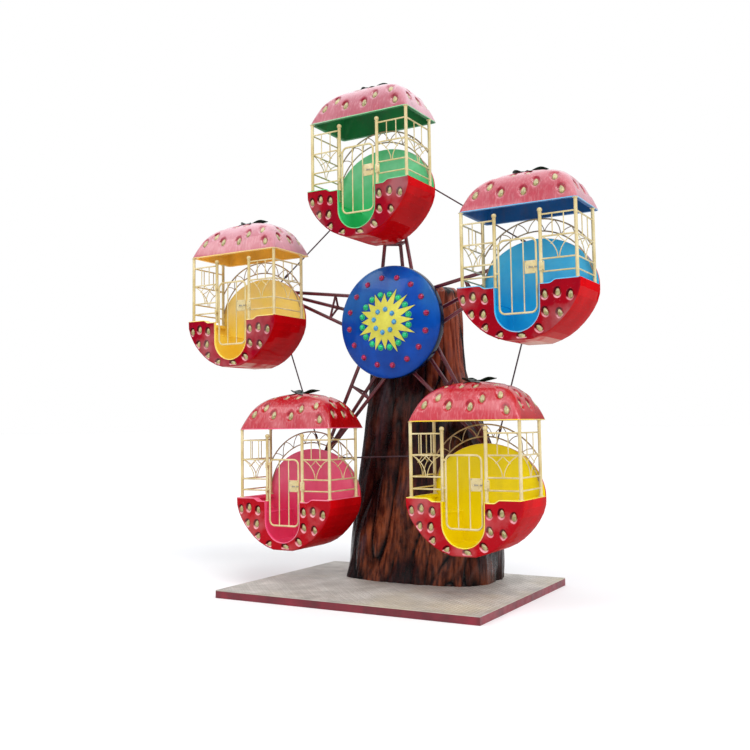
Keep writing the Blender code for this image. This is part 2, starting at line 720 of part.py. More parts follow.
pivots = []
for k in range(CABINS):
    a = FIRST_ANGLE + STEP * k
    pivots.append((PIVOT_R * math.sin(a), 0.0, HUB_Z + PIVOT_R * math.cos(a)))
hinges = [(p[0] + HINGE_X, HINGE_Y, p[2]) for p in pivots]
cabin_parts = (("tub", build_tub(), red, pivots),
               ("cage_left", build_cage_side(-1), cream, pivots),
               ("cage_right", build_cage_side(1), cream, pivots),
               ("cage_back", build_cage_back(), cream, pivots),
               ("roof", build_roof(), roof_red, pivots),
               ("leaf", build_leaf(), leaf_green, pivots),
               ("gate", build_gate(), cream, hinges))
for label, ob, mat, spots in cabin_parts:
    finish(ob, label + "_1", mat, spots[0])
    for k in range(1, CABINS):
        place(ob.data, "%s_%d" % (label, k + 1), spots[k])

# One material for each object
for ob in bpy.data.objects:
    if ob.data.users > 1:
        ob.material_slots[0].link = "OBJECT"
        own = ob.data.materials[0].copy()
        own.name = ob.name + "_paint"
        ob.material_slots[0].material = own
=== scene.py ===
import math

import bmesh
import bpy
from mathutils import Matrix, Vector, noise


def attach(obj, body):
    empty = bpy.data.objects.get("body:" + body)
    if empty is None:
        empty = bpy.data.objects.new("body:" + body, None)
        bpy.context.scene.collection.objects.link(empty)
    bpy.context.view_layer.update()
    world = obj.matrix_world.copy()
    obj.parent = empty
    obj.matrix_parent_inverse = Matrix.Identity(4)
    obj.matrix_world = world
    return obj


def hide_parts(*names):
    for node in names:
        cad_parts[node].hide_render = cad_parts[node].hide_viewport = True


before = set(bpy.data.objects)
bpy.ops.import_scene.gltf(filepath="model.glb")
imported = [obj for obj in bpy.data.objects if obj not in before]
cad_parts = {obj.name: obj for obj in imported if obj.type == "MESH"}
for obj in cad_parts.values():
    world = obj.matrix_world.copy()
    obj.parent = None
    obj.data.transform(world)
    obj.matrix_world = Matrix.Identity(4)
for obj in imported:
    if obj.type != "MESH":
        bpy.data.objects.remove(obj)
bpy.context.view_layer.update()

# Main dimensions of the wheel, in metres
CABINS = 5
HUB_Z = 2.810
PIVOT_R = 1.760
FIRST_ANGLE = math.radians(-1.5)
STEP = 2.0 * math.pi / CABINS
ARM_Y = 0.180
ARM_BACK = 0.220
ARM_SPREAD = 0.270
CHORD_R = 0.020
RUNG_R = 0.0125
RUNG_AT = 0.880
HUB_FLAT = 0.3603
HUB_Y0 = 0.150
HUB_Y1 = 0.400
DISC_R = 0.605
DISC_FACE_Y = -0.140
DISC_CROWN = 0.300
DISC_TURN_R = 0.575
DISC_BACK_Y = 0.064
STAR_TIPS = (0.335, 0.385, 0.370, 0.360, 0.295, 0.315, 0.278, 0.312,
             0.287, 0.345, 0.288, 0.325, 0.302, 0.360, 0.330, 0.375)
STAR_VALLEY = 0.196

# Cabin, x and z measured from its pivot
RIM_Z = -0.394
BENCH_Z = RIM_Z - 0.160
GATE_RIM_Z = -0.424
TUB_Y0 = -0.599
TUB_Y1 = 0.010
TUB_EDGE = 0.014
# Outline of the tub: depth below the rim and half width
TUB_SHAPE = ((0.0, 0.6035), (0.08, 0.600), (0.16, 0.574), (0.23, 0.535), (0.29, 0.492),
             (0.35, 0.438), (0.41, 0.372), (0.46, 0.300), (0.50, 0.215), (0.53, 0.120))
GATEWAY_R = 0.215
GATEWAY_Z = RIM_Z - 0.235
PANEL_Y = -0.012
HOUSING_END_Y = 0.150
OVAL_TOP = 0.112
ROOF_Z = 0.334
ROOF_H = 0.375
ROOF_HALF_X = 0.584
ROOF_MID_Y = -0.232
ROOF_HALF_Y = 0.337
ROOF_CAP = (0.240, 0.210, 0.050)
# Roof from its rim up: height, shares of the half width and half depth, corner radius
ROOF_SHAPE = ((0.0, 1.0, 1.0, 0.030), (0.045, 0.978, 0.970, 0.045), (0.10, 0.945, 0.925, 0.065),
              (0.18, 0.883, 0.845, 0.090), (0.25, 0.800, 0.735, 0.110), (0.305, 0.690, 0.590, 0.120),
              (0.345, 0.530, 0.410, 0.100), (ROOF_H, *ROOF_CAP))
POST_X = 0.563
POST_Y0 = -0.548
POST_Y1 = -0.036
POST_R = 0.0165
GATE_POST_X = 0.225
RAILS = (0.217, 0.012, -0.194, -0.311)
HINGE_X = -0.200
HINGE_Y = -0.604
GATE_Y = -0.560

# Trunk from its foot up: height, left, right, front and back
TRUNK_SHAPE = ((0.0, -0.816, 0.898, 0.035, 1.100), (0.20, -0.785, 0.905, 0.080, 1.095),
               (0.50, -0.762, 0.893, 0.135, 1.085), (0.95, -0.725, 0.850, 0.225, 1.065),
               (1.45, -0.665, 0.780, 0.290, 1.050), (1.70, -0.640, 0.680, 0.320, 1.038),
               (2.00, -0.635, 0.565, 0.385, 1.020), (2.25, -0.620, 0.505, 0.430, 1.010),
               (2.70, -0.583, 0.479, 0.440, 0.990), (3.15, -0.546, 0.460, 0.470, 0.970))
TRUNK_TOP = 3.150
DECK_Z = 0.078

UP = (0, 0, 1)
RIGHT = (1, 0, 0)
BACK = (0, 1, 0)
FRONT = (0, -1, 0)


def srgb(r, g, b):
    """Linear colour from the usual 0 to 255 values."""
    out = []
    for v in (r, g, b):
        c = v / 255.0
        out.append(c / 12.92 if c <= 0.04045 else ((c + 0.055) / 1.055) ** 2.4)
    return (*out, 1.0)


def shade(colour, by, lift=0.0):
    """Darker or paler tone of a linear colour."""
    return tuple(by * c + lift for c in colour[:3]) + (1.0,)


class Paint:
    """A node material with short calls for noise, ramps and mixing."""

    def __init__(self, name, coat=0.0, metal=0.0, coat_rough=0.08, gloss=0.5):
        self.mat = bpy.data.materials.new(name)
        self.mat.use_nodes = True
        self.tree = self.mat.node_tree
        self.bsdf = self.tree.nodes["Principled BSDF"]
        self.bsdf.inputs["Coat Weight"].default_value = coat
        self.bsdf.inputs["Coat Roughness"].default_value = coat_rough
        self.bsdf.inputs["Metallic"].default_value = metal
        self.bsdf.inputs["Specular IOR Level"].default_value = gloss
        self.coords = self.node("ShaderNodeTexCoord").outputs["Object"]

    def node(self, kind):
        return self.tree.nodes.new(kind)

    def link(self, value, socket):
        if isinstance(value, bpy.types.NodeSocket):
            self.tree.links.new(value, socket)
        else:
            socket.default_value = value

    def noise(self, scale, detail=4.0, stretch=(1, 1, 1), shift=0.0):
        place = self.node("ShaderNodeMapping")
        place.inputs["Scale"].default_value = stretch
        place.inputs["Location"].default_value = (shift, shift * 1.7, shift * 0.6)
        self.link(self.coords, place.inputs["Vector"])
        tex = self.node("ShaderNodeTexNoise")
        tex.inputs["Scale"].default_value = scale
        tex.inputs["Detail"].default_value = detail
        self.link(place.outputs["Vector"], tex.inputs["Vector"])
        return tex.outputs["Fac"]

    def level(self, value, low, high, start=0.0, end=1.0):
        """Turns low to high into start to end, and holds the ends."""
        ranger = self.node("ShaderNodeMapRange")
        for socket, number in zip(("From Min", "From Max", "To Min", "To Max"), (low, high, start, end)):
            ranger.inputs[socket].default_value = number
        self.link(value, ranger.inputs["Value"])
        return ranger.outputs["Result"]

    def mix(self, factor, a, b):
        """Goes from colour a to colour b as the factor goes from 0 to 1."""
        blend = self.node("ShaderNodeMix")
        blend.data_type = "RGBA"
        self.link(factor, blend.inputs[0])
        self.link(a, blend.inputs[6])
        self.link(b, blend.inputs[7])
        return blend.outputs[2]

    def maths(self, kind, a, b):
        node = self.node("ShaderNodeMath")
        node.operation = kind
        self.link(a, node.inputs[0])
        self.link(b, node.inputs[1])
        return node.outputs[0]

    def times(self, a, b):
        return self.maths("MULTIPLY", a, b)

    def part(self, vector, axis):
        split = self.node("ShaderNodeSeparateXYZ")
        self.link(vector, split.inputs[0])
        return split.outputs[axis]

    def facing(self, axis):
        """How far the surface faces along an axis of the ride, -1 to 1."""
        return self.part(self.node("ShaderNodeNewGeometry").outputs["Normal"], axis)

    def along(self, axis):
        """Where the surface lies along an axis of its piece, in metres."""
        return self.part(self.coords, axis)

    def attribute(self, name):
        node = self.node("ShaderNodeAttribute")
        node.attribute_name = name
        return node.outputs["Fac"]

    def done(self, colour, rough, height=None, strength=0.2, distance=0.001):
        self.link(colour, self.bsdf.inputs["Base Color"])
        self.link(rough, self.bsdf.inputs["Roughness"])
        if height is not None:
            bump = self.node("ShaderNodeBump")
            bump.inputs["Strength"].default_value = strength
            bump.inputs["Distance"].default_value = distance
            self.link(height, bump.inputs["Height"])
            self.link(bump.outputs["Normal"], self.bsdf.inputs["Normal"])
        return self.mat


def enamel(name, light, dark, dirt, rough=(0.22, 0.42), coat=0.5, metal=0.0, dirty=0.35, shift=0.0, scale=3.0,
           gloss=0.5, upper_tone=None):
    """Sprayed paint: broad tone changes, rain streaks, fine grime and a slight orange peel. washed is another
    tone, and the heights from which and at which it takes over."""
    p = Paint(name, coat, metal, gloss=gloss)
    tone = p.mix(p.level(p.noise(scale, 5.0, shift=shift), 0.34, 0.66), dark, light)
    if upper_tone is not None:
        cloud = p.level(p.noise(4.5, 5.0, shift=shift + 5.5), 0.36, 0.62, 0.45, 1.0)
        tone = p.mix(p.times(p.level(p.along("Z"), upper_tone[1], upper_tone[2], 0.0, 0.95), cloud), tone, upper_tone[0])
    streak = p.level(p.noise(9.0, 5.0, (1.0, 1.0, 0.14), shift + 3.1), 0.54, 0.78, 0.0, dirty)
    tone = p.mix(streak, tone, dirt)
    grime = p.level(p.noise(48.0, 3.0, shift=shift + 7.7), 0.56, 0.80, 0.0, dirty * 0.8)
    tone = p.mix(grime, tone, dirt)
    wear = p.level(p.noise(13.0, 4.0, shift=shift + 1.3), 0.3, 0.7, rough[0], rough[1])
    return p.done(tone, wear, p.noise(150.0, 2.0, shift=shift), 0.12, 0.0006)


def shell_red(name, side, front, top, top_from, deep, shift, coat, gloss):
    """Moulded shell with painted light: side, front and top tones, deep red painted shade in the dents' left
    and upper walls, scuffs below.
    """
    p = Paint(name, coat, 0.0, 0.05, gloss)
    broad = p.level(p.noise(3.4, 7.0, (1.0, 1.0, 0.6), shift), 0.38, 0.60)
    tone = p.mix(broad, shade(side, 0.74), shade(side, 1.03))
    # Painted shade: faces that turn downwards take a darker side tone
    tone = p.mix(p.level(p.facing("Z"), -0.10, -0.65, 0.0, 0.55), tone, shade(side, 0.55))
    # Front tone on forward faces: painted light, standing in for the front's shade and the sky's reflection
    forward = p.level(p.facing("Y"), -0.30, -0.70)
    patch = p.level(p.noise(3.6, 5.0, shift=shift + 4.0), 0.30, 0.66, 0.70, 1.0)
    tone = p.mix(p.times(forward, patch), tone, front)
    # Top tone on faces that look up: partly painted highlight of the sky, partly sun fading
    highlight_and_fade = p.times(p.level(p.facing("Z"), top_from, top_from + 0.42, 0.0, 0.92),
                     p.level(p.noise(5.5, 5.0, shift=shift + 2.0), 0.30, 0.6, 0.45, 1.0))
    tone = p.mix(highlight_and_fade, tone, top)
    # Painted shade in the dents: deep red on their upper and left walls, as if shadowed from above
    tilt = p.maths("SUBTRACT", p.facing("Z"), p.times(p.facing("X"), 0.6))
    lip = p.times(p.level(p.attribute("dent"), 0.03, 0.30), p.level(tilt, -0.04, -0.36, 0.0, 0.92))
    tone = p.mix(lip, tone, deep)
    scuffed = p.times(p.level(p.facing("Z"), -0.90, -0.98, 0.0, 0.85),
                      p.level(p.noise(3.0, 6.0, shift=shift + 6.0), 0.47, 0.58))
    tone = p.mix(scuffed, tone, srgb(206, 168, 152))
    streak = p.level(p.noise(13.0, 6.0, (1.0, 1.0, 0.12), shift + 5.0), 0.55, 0.80, 0.0, 0.30)
    tone = p.mix(streak, tone, shade(front, 0.55))
    pale_patch = p.times(forward, p.level(p.noise(2.7, 6.0, shift=shift + 3.0), 0.50, 0.70, 0.0, 0.34))
    tone = p.mix(pale_patch, tone, shade(front, 0.9, 0.30))
    slope = p.times(forward, p.level(p.facing("Z"), 0.08, 0.22))
    wash = p.times(slope, p.level(p.noise(52.0, 5.0, (1.0, 1.0, 0.07), shift + 8.0), 0.48, 0.76, 0.0, 0.26))
    tone = p.mix(wash, tone, shade(front, 1.0, 0.42))
    speck = p.level(p.noise(60.0, 4.0, shift=shift + 9.0), 0.66, 0.80, 0.0, 0.18)
    tone = p.mix(speck, tone, top)
    wear = p.level(p.noise(9.0, 4.0, shift=shift + 1.0), 0.3, 0.7, 0.14, 0.30)
    return p.done(tone, wear, p.noise(5.0, 3.0, shift=shift), 0.25, 0.006)


def bark_paint():
    """Moulded bark: black grooves, dark ridges with patches of painted sheen, browner low down and on the
    boards high on the right.
    """
    p = Paint("bark_shell", 0.14, 0.0, 0.10, 0.14)
    ridge = p.attribute("ridge")
    fibre = p.level(p.noise(30.0, 6.0, (1.0, 1.0, 0.07)), 0.38, 0.62)
    body = p.mix(fibre, srgb(20, 7, 7), srgb(58, 22, 18))
    low = p.times(p.level(p.along("Z"), 2.1, 0.9),
                  p.level(p.noise(2.6, 4.0, (1.0, 1.0, 0.35), 4.0), 0.44, 0.56))
    body = p.mix(low, body, p.mix(fibre, srgb(70, 30, 20), srgb(140, 74, 46)))
    board = p.times(p.level(p.along("X"), 0.16, 0.30), p.level(p.along("Z"), 1.85, 2.15))
    body = p.mix(board, body, p.mix(fibre, srgb(98, 36, 22), srgb(164, 82, 54)))
    # Painted sheen: greyish purple on the high ridges, where the gloss would catch the light
    pale_patch = p.times(p.level(p.noise(3.6, 5.0, (1.0, 1.0, 0.45), 9.0), 0.57, 0.66, 0.0, 0.36),
                    p.level(ridge, 0.60, 0.95))
    body = p.mix(pale_patch, body, srgb(104, 84, 94))
    body = p.mix(p.level(ridge, 0.62, 0.26), body, srgb(5, 3, 4))
    wear = p.level(p.noise(18.0, 4.0), 0.3, 0.7, 0.16, 0.38)
    return p.done(body, wear, fibre, 0.5, 0.004)


def tread_paint(name, light, dark, metal, dirty):
    """Tread plate: broad tone changes, ochre stains and foot marks."""
    p = Paint(name, 0.0, metal)
    tone = p.mix(p.level(p.noise(5.0, 6.0), 0.36, 0.64), dark, light)
    stain = p.level(p.noise(1.15, 4.0, shift=2.4), 0.52, 0.70, 0.0, dirty)
    tone = p.mix(stain, tone, srgb(206, 192, 158))
    foot = p.level(p.noise(24.0, 5.0, shift=6.0), 0.58, 0.78, 0.0, 0.30)
    tone = p.mix(foot, tone, srgb(150, 144, 138))
    return p.done(tone, p.level(p.noise(17.0, 4.0), 0.3, 0.7, 0.38, 0.62), p.noise(240.0, 2.0), 0.15, 0.0005)


def disc_gloss():
    """Deep blue gloss: paler cloudy painted sheen on the upper half, streaks of grime, a dark rim of painted
    shade.
    """
    p = Paint("disc_gloss", 0.16, 0.0, 0.05, 0.10)
    tone = p.mix(p.level(p.noise(2.6, 5.0), 0.34, 0.66), srgb(0, 52, 136), srgb(0, 74, 174))
    # Painted sheen: paler patches standing in for the sky's reflection on the upper half
    sheen = p.times(p.level(p.along("Z"), -0.15, 0.35),
                    p.level(p.noise(1.7, 3.0, shift=5.2), 0.40, 0.54, 0.0, 0.55))
    tone = p.mix(sheen, tone, srgb(48, 122, 182))
    streak = p.level(p.noise(9.0, 5.0, (1.0, 1.0, 0.14), 3.1), 0.54, 0.78, 0.0, 0.30)
    tone = p.mix(streak, tone, srgb(0, 30, 84))
    grime = p.level(p.noise(48.0, 3.0, shift=7.7), 0.56, 0.80, 0.0, 0.22)
    tone = p.mix(grime, tone, srgb(0, 30, 84))
    # Painted shade: dark navy on the rounded edge where it turns away from the front
    rim = p.times(p.level(p.facing("Y"), -0.62, -0.30), p.level(p.facing("Y"), 0.70, 0.40))
    tone = p.mix(rim, tone, srgb(2, 16, 46))
    wear = p.level(p.noise(13.0, 4.0, shift=1.3), 0.3, 0.7, 0.12, 0.24)
    return p.done(tone, wear, p.noise(150.0, 2.0), 0.12, 0.0006)


def seed_paint():
    """Dull cream of the seeds, paler on top as painted light."""
    p = Paint("seed_cream", 0.4)
    tone = p.mix(p.level(p.noise(34.0, 4.0), 0.35, 0.65), srgb(122, 114, 62), srgb(192, 180, 122))
    # Painted light: paler cream on faces that look up
    tone = p.mix(p.level(p.facing("Z"), 0.1, 0.8, 0.0, 0.5), tone, srgb(214, 208, 168))
    return p.done(tone, p.level(p.noise(60.0), 0.3, 0.7, 0.28, 0.5), p.noise(300.0, 2.0), 0.2, 0.0005)


def bulb_paint(name, light, dark):
    p = Paint(name, 0.35, 0.0, 0.05, 0.3)
    tone = p.mix(p.level(p.noise(40.0, 3.0), 0.35, 0.65), dark, light)
    return p.done(tone, p.level(p.noise(90.0), 0.3, 0.7, 0.16, 0.32), p.noise(400.0, 2.0), 0.08, 0.0003)


def add(name, data):
    """New object in the scene for a mesh, a lamp or a camera."""
    ob = bpy.data.objects.new(name, data)
    bpy.context.collection.objects.link(ob)
    return ob


def circle(centre, side, other, r, n):
    """Points round a circle in the plane of two directions."""
    out = []
    for j in range(n):
        a = 2 * math.pi * j / n
        out.append(centre + side * r * math.cos(a) + other * r * math.sin(a))
    return out


LEAST_R = 0.0002


class Shape:
    """Points, faces and paint numbers of one piece, made of closed solids."""

    def __init__(self):
        self.points = []
        self.faces = []
        self.paints = []

    def skin(self, rings, paint=0, loop=False):
        """Closed solid over rings of equal length. loop joins the last ring to the first."""
        start = len(self.points)
        n = len(rings[0])
        for ring in rings:
            self.points += [tuple(p) for p in ring]
        count = len(rings)
        for i in range(count if loop else count - 1):
            a = start + i * n
            b = start + (i + 1) % count * n
            for j in range(n):
                k = (j + 1) % n
                self.faces.append((a + j, a + k, b + k, b + j))
                self.paints.append(paint)
        if not loop:
            for ring_at in (start, start + (count - 1) * n):
                self.faces.append(tuple(range(ring_at, ring_at + n)))
                self.paints.append(paint)

    def tube(self, path, r, n=10, paint=0, loop=False, taper=None):
        """Round bar along a path. taper gives a radius factor for each point."""
        pts = [Vector(p) for p in path]
        count = len(pts)
        rings = []
        side = None
        for i, p in enumerate(pts):
            before = pts[i - 1] if i or loop else p
            after = pts[(i + 1) % count] if i < count - 1 or loop else p
            d = (after - before).normalized()
            if side is None:
                side = d.orthogonal() if abs(d.y) > 0.9 else d.cross(Vector((0, 1, 0)))
            side = (side - d * side.dot(d)).normalized()
            radius = r * (taper[i] if taper else 1.0)
            rings.append(circle(p, side, d.cross(side), radius, n))
        self.skin(rings, paint, loop)

    def turned(self, profile, origin, axis, n=20, paint=0):
        """Solid turned about an axis from (radius, height) points."""
        axis = Vector(axis).normalized()
        side = axis.orthogonal().normalized()
        other = axis.cross(side)
        rings = []
        for r, h in profile:
            rings.append(circle(Vector(origin) + axis * h, side, other, max(r, LEAST_R), n))
        self.skin(rings, paint)

    def block(self, low, high, edge, paint=0):
        """Box with rounded upright and top edges, as stacked rounded rings along Y."""
        x0, y0, z0 = low
        x1, y1, z1 = high
        rings = []
        for y, inset in ((y0, edge), (y0 + edge * 0.4, edge * 0.3), (y0 + edge, 0.0),
                         (y1 - edge, 0.0), (y1 - edge * 0.4, edge * 0.3), (y1, edge)):
            ring = []
            corner = edge * 1.4
            for sx, sz, start in ((1, 1, 0), (-1, 1, 90), (-1, -1, 180), (1, -1, 270)):
                cx = (x1 if sx > 0 else x0) - sx * (corner + inset)
                cz = (z1 if sz > 0 else z0) - sz * (corner + inset)
                for i in range(4):
                    a = math.radians(start + 30 * i)
                    ring.append((cx + corner * math.cos(a), y, cz + corner * math.sin(a)))
            rings.append(ring)
        self.skin(rings, paint)

    def bolt(self, at, axis, r, high, paint=0):
        """Hexagon head on a washer."""
        axis = Vector(axis).normalized()
        self.turned(((r * 1.5, 0.0), (r * 1.5, high * 0.22), (r * 1.3, high * 0.30)), at, axis, 14, paint)
        head = Vector(at) + axis * high * 0.28
        self.turned(((r, 0.0), (r, high * 0.58), (r * 0.84, high * 0.72)), head, axis, 6, paint)

    def make(self, name, mats, angle=38.0):
        """Object with its faces turned out, smooth but for edges over the angle in degrees."""
        mesh = bpy.data.meshes.new(name)
        mesh.from_pydata(self.points, [], self.faces)
        mesh.polygons.foreach_set("material_index", self.paints)
        for m in mats:
            mesh.materials.append(m)
        bm = bmesh.new()
        bm.from_mesh(mesh)
        bmesh.ops.recalc_face_normals(bm, faces=bm.faces)
        bm.to_mesh(mesh)
        bm.free()
        mesh.shade_smooth()
        mesh.set_sharp_from_angle(angle=math.radians(angle))
        return add(name, mesh)


def copy_of(ob, name, mats, spot, turn=0.0):
    """Another copy of a piece, with its own mesh and paints, placed from the model's master."""
    mesh = ob.data.copy()
    paints = [0] * len(mesh.polygons)
    mesh.polygons.foreach_get("material_index", paints)
    mesh.materials.clear()
    for m in mats:
        mesh.materials.append(m)
    mesh.polygons.foreach_set("material_index", paints)
    other = add(name, mesh)
    other.matrix_world = Matrix.Translation(spot) @ Matrix.Rotation(turn, 4, "Y")
    return other


def settle(piece, body, slot, *nodes):
    """Rides on its body and stands for CAD nodes; the slot is not used."""
    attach(piece, body)
    if nodes:
        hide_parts(*nodes)


BLANKS = [bpy.data.materials.new("blank_" + str(i)) for i in range(5)]


def apply_modifiers(ob):
    """Puts the result of an object's modifiers into its mesh."""
    graph = bpy.context.evaluated_depsgraph_get()
    ob.data = bpy.data.meshes.new_from_object(ob.evaluated_get(graph))
    ob.modifiers.clear()


def boolean(target, tool, kind):
    """Joins a tool to a target or cuts it away, and removes the tool."""
    mod = target.modifiers.new("b", "BOOLEAN")
    mod.operation = kind
    mod.solver = "EXACT"
    mod.object = tool
    apply_modifiers(target)
    bpy.data.objects.remove(tool, do_unlink=True)


def merge(target, extra):
    """Adds the faces of one piece to another, with their paint numbers."""
    bm = bmesh.new()
    bm.from_mesh(target.data)
    bm.from_mesh(extra.data)
    bm.to_mesh(target.data)
    bm.free()
    bpy.data.objects.remove(extra, do_unlink=True)
    target.data.shade_smooth()
    target.data.set_sharp_from_angle(angle=math.radians(24))


def crisp_along_y(mesh, least):
    """Keeps the edges that run front to back sharp where they turn by more than least degrees."""
    bm = bmesh.new()
    bm.from_mesh(mesh)
    for edge in bm.edges:
        way = (edge.verts[1].co - edge.verts[0].co).normalized()
        if abs(way.y) > 0.99 and len(edge.link_faces) == 2 and edge.calc_face_angle() > math.radians(least):
            edge.smooth = False
    bm.to_mesh(mesh)
    bm.free()


def spline(points, per_span):
    """Smooth curve through points of any size, with per_span steps between two of them."""
    out = []
    last = len(points) - 1
    for i in range(last):
        a, b, c, d = (points[max(0, i - 1)], points[i], points[i + 1], points[min(last, i + 2)])
        for s in range(per_span):
            t = s / per_span
            row = []
            for p, q, r, w in zip(a, b, c, d):
                row.append(0.5 * (2 * q + (r - p) * t + (2 * p - 5 * q + 4 * r - w) * t * t
                                  + (3 * q - p - 3 * r + w) * t * t * t))
            out.append(tuple(row))
    out.append(tuple(points[-1]))
    return out


def smooth(t):
    """Soft step from 0 to 1."""
    t = max(0.0, min(1.0, t))
    return t * t * (3 - 2 * t)


# Strawberry seeds: each sits in a shallow oval dent
DENT_HALF_U = 0.045
DENT_HALF_V = 0.060
DENT_DEEP = 0.0195
DENT_WALL = 0.42
SEED_HALF_U = 0.0240
SEED_HALF_V = 0.0400
SEED_HIGH = 0.0165


def seed_frame(normal, lean):
    """Directions across, along and out of a seed on a surface; lean turns it."""
    n = normal.normalized()
    up = Vector((0, 0, 1)) - n * n.z
    if up.length < 0.35:
        up = Vector((0, -1, 0)) - n * -n.y
    up.normalize()
    across = up.cross(n)
    v = up * math.cos(lean) + across * math.sin(lean)
    return v.cross(n), v, n


def dent(points, seeds):
    """Pushes points inwards around seeds, given as (centre, across, along, out, size), and returns how far
    down a dent's wall each point lies, 0 to 1."""
    reach = DENT_HALF_V * 1.1
    sunk = [0.0] * len(points)
    for i, p in enumerate(points):
        q = Vector(p)
        for centre, u, v, n, size in seeds:
            d = q - centre
            if abs(d.x) > reach or abs(d.y) > reach or abs(d.z) > reach:
                continue
            rho = math.hypot(d.dot(u) / (DENT_HALF_U * size), d.dot(v) / (DENT_HALF_V * size))
            if rho < 1.0:
                sunk[i] = smooth((1.0 - rho) / DENT_WALL)
                q = q - n * DENT_DEEP * size * sunk[i]
        points[i] = tuple(q)
    return sunk


def mark(ob, name, values):
    """Writes a number to each point of a mesh for its paint, 0 past the end of the list."""
    layer = ob.data.attributes.new(name, "FLOAT", "POINT")
    layer.data.foreach_set("value", values + [0.0] * (len(ob.data.vertices) - len(values)))


def add_seeds(shape, seeds, paint):
    """Teardrop bodies that lie at the bottom of the dents."""
    rows, around = 9, 14
    for centre, u, v, n, size in seeds:
        base = centre - n * (DENT_DEEP * size + 0.0012)
        rings = []
        for i in range(rows):
            t = -1.0 + 2.0 * (i + 0.15) / (rows - 0.7)
            wide = math.sqrt(max(0.0, 1.0 - t * t)) * (1.0 - 0.22 * t)
            ring = []
            for j in range(around):
                a = 2 * math.pi * j / around
                ring.append(base + v * t * SEED_HALF_V * size
                            + u * math.cos(a) * wide * SEED_HALF_U * size
                            + n * math.sin(a) * wide * SEED_HIGH * (1.0 if math.sin(a) > 0 else 0.25))
            rings.append(ring)
        shape.skin(rings, paint)


# Tub

# Seeds on the front: x and z from the pivot, and lean
TUB_SEEDS = ((-0.545, -0.515, 0.05), (-0.438, -0.494, 0.0), (-0.318, -0.519, -0.1), (-0.458, -0.661, 0.25),
             (-0.338, -0.664, 0.15), (-0.322, -0.795, 0.5), (-0.178, -0.873, 0.7), (0.036, -0.888, -1.2),
             (0.205, -0.826, -0.75), (0.265, -0.524, -0.1), (0.386, -0.515, 0.0), (0.504, -0.545, 0.05),
             (0.268, -0.681, -0.35), (0.402, -0.703, -0.3))
TUB_SEED = 0.95
TUB_STEP = 0.0068


def fine_outline():
    """Outline of the tub from the right rim corner down and round to the left one, with directions inwards.
    Points along the rim have none."""
    right = [(half, RIM_Z - drop) for drop, half in TUB_SHAPE]
    corners = right + [(-x, z) for x, z in reversed(right)]
    points = []
    for (x0, z0), (x1, z1) in zip(corners, corners[1:]):
        n = max(1, round(math.hypot(x1 - x0, z1 - z0) / TUB_STEP))
        points += [(x0 + (x1 - x0) * i / n, z0 + (z1 - z0) * i / n) for i in range(n)]
    points.append(corners[-1])
    normals = []
    last = len(points) - 1
    for i in range(len(points)):
        a, b = points[max(0, i - 1)], points[min(last, i + 1)]
        d = Vector((b[0] - a[0], b[1] - a[1])).normalized()
        normals.append((d.y, -d.x))
    top = round(2 * TUB_SHAPE[0][1] / (TUB_STEP * 2.0))
    for i in range(1, top):
        points.append((-TUB_SHAPE[0][1] + 2 * TUB_SHAPE[0][1] * i / top, RIM_Z))
        normals.append((0.0, 0.0))
    return points, normals


def offset_ring(points, normals, inset, y):
    """The outline at one depth, moved inwards. Points along the rim only draw together."""
    ring = []
    for (x, z), (nx, nz) in zip(points, normals):
        if nx or nz:
            x += nx * inset
        else:
            x *= 1 - inset / 0.6
        ring.append((x, y, z + nz * inset if z < RIM_Z else z))
    return ring


def tub_top(x):
    """Height of the front rim: it dips with a soft S on each side of the gateway."""
    return RIM_Z + (GATE_RIM_Z - RIM_Z) * smooth((0.375 - abs(x)) / 0.062)


def rounded_cutter(outline, y0, y1, width):
    """Prism with rounded edges, painted with the second paint."""
    shape = Shape()
    shape.skin([[(x, y, z) for x, z in outline] for y in (y0, y1)], 1)
    ob = shape.make("cutter", BLANKS)
    if width:
        mod = ob.modifiers.new("round", "BEVEL")
        mod.width = width
        mod.segments = 3
        mod.limit_method = "ANGLE"
        apply_modifiers(ob)
    return ob


def tub_body():
    """Solid tub with dented front, and its seeds."""
    points, normals = fine_outline()
    middle = Vector((0.0, GATEWAY_Z))
    flat = offset_ring(points, normals, TUB_EDGE, TUB_Y0)
    rings = []
    rows = 62
    for f in [0.02] + [0.34 + 0.66 * i / rows for i in range(rows + 1)]:
        rings.append([(middle.x + (x - middle.x) * f, TUB_Y0, middle.y + (z - middle.y) * f)
                      for x, _, z in flat])
    front_rings = len(rings)
    steps = []
    for i in range(1, 5):
        a = math.pi / 2 * i / 4
        steps.append((TUB_EDGE * (1 - math.sin(a)), TUB_Y0 + TUB_EDGE * (1 - math.cos(a))))
    for i in range(1, 5):
        steps.append((0.0, TUB_Y0 + TUB_EDGE + (TUB_Y1 - TUB_Y0 - 2 * TUB_EDGE) * i / 4))
    for i in range(1, 4):
        a = math.pi / 2 * i / 3
        steps.append((TUB_EDGE * (1 - math.cos(a)), TUB_Y1 - TUB_EDGE * (1 - math.sin(a))))
    rings += [offset_ring(points, normals, inset, y) for inset, y in steps]
    rings.append([(x * 0.5, TUB_Y1, middle.y + (z - middle.y) * 0.5) for x, _, z in rings[-1]])
    shape = Shape()
    shape.skin(rings)
    seeds = []
    for x, z, lean in TUB_SEEDS:
        u, v, n = seed_frame(Vector(FRONT), lean)
        seeds.append((Vector((x, TUB_Y0, z)), u, v, n, TUB_SEED))
    count = len(points) * front_rings
    front = shape.points[:count]
    sunk = dent(front, seeds)
    # Dents run out before the rounded edge
    for i, (x, y, z) in enumerate(front):
        fade = min(1.0, (front_rings - 1 - i // len(points)) / 4)
        front[i] = (x, TUB_Y0 + (y - TUB_Y0) * fade, z)
        sunk[i] *= fade
    shape.points[:count] = front
    tub = shape.make("tub_master", BLANKS)
    mark(tub, "dent", sunk)
    return tub, seeds


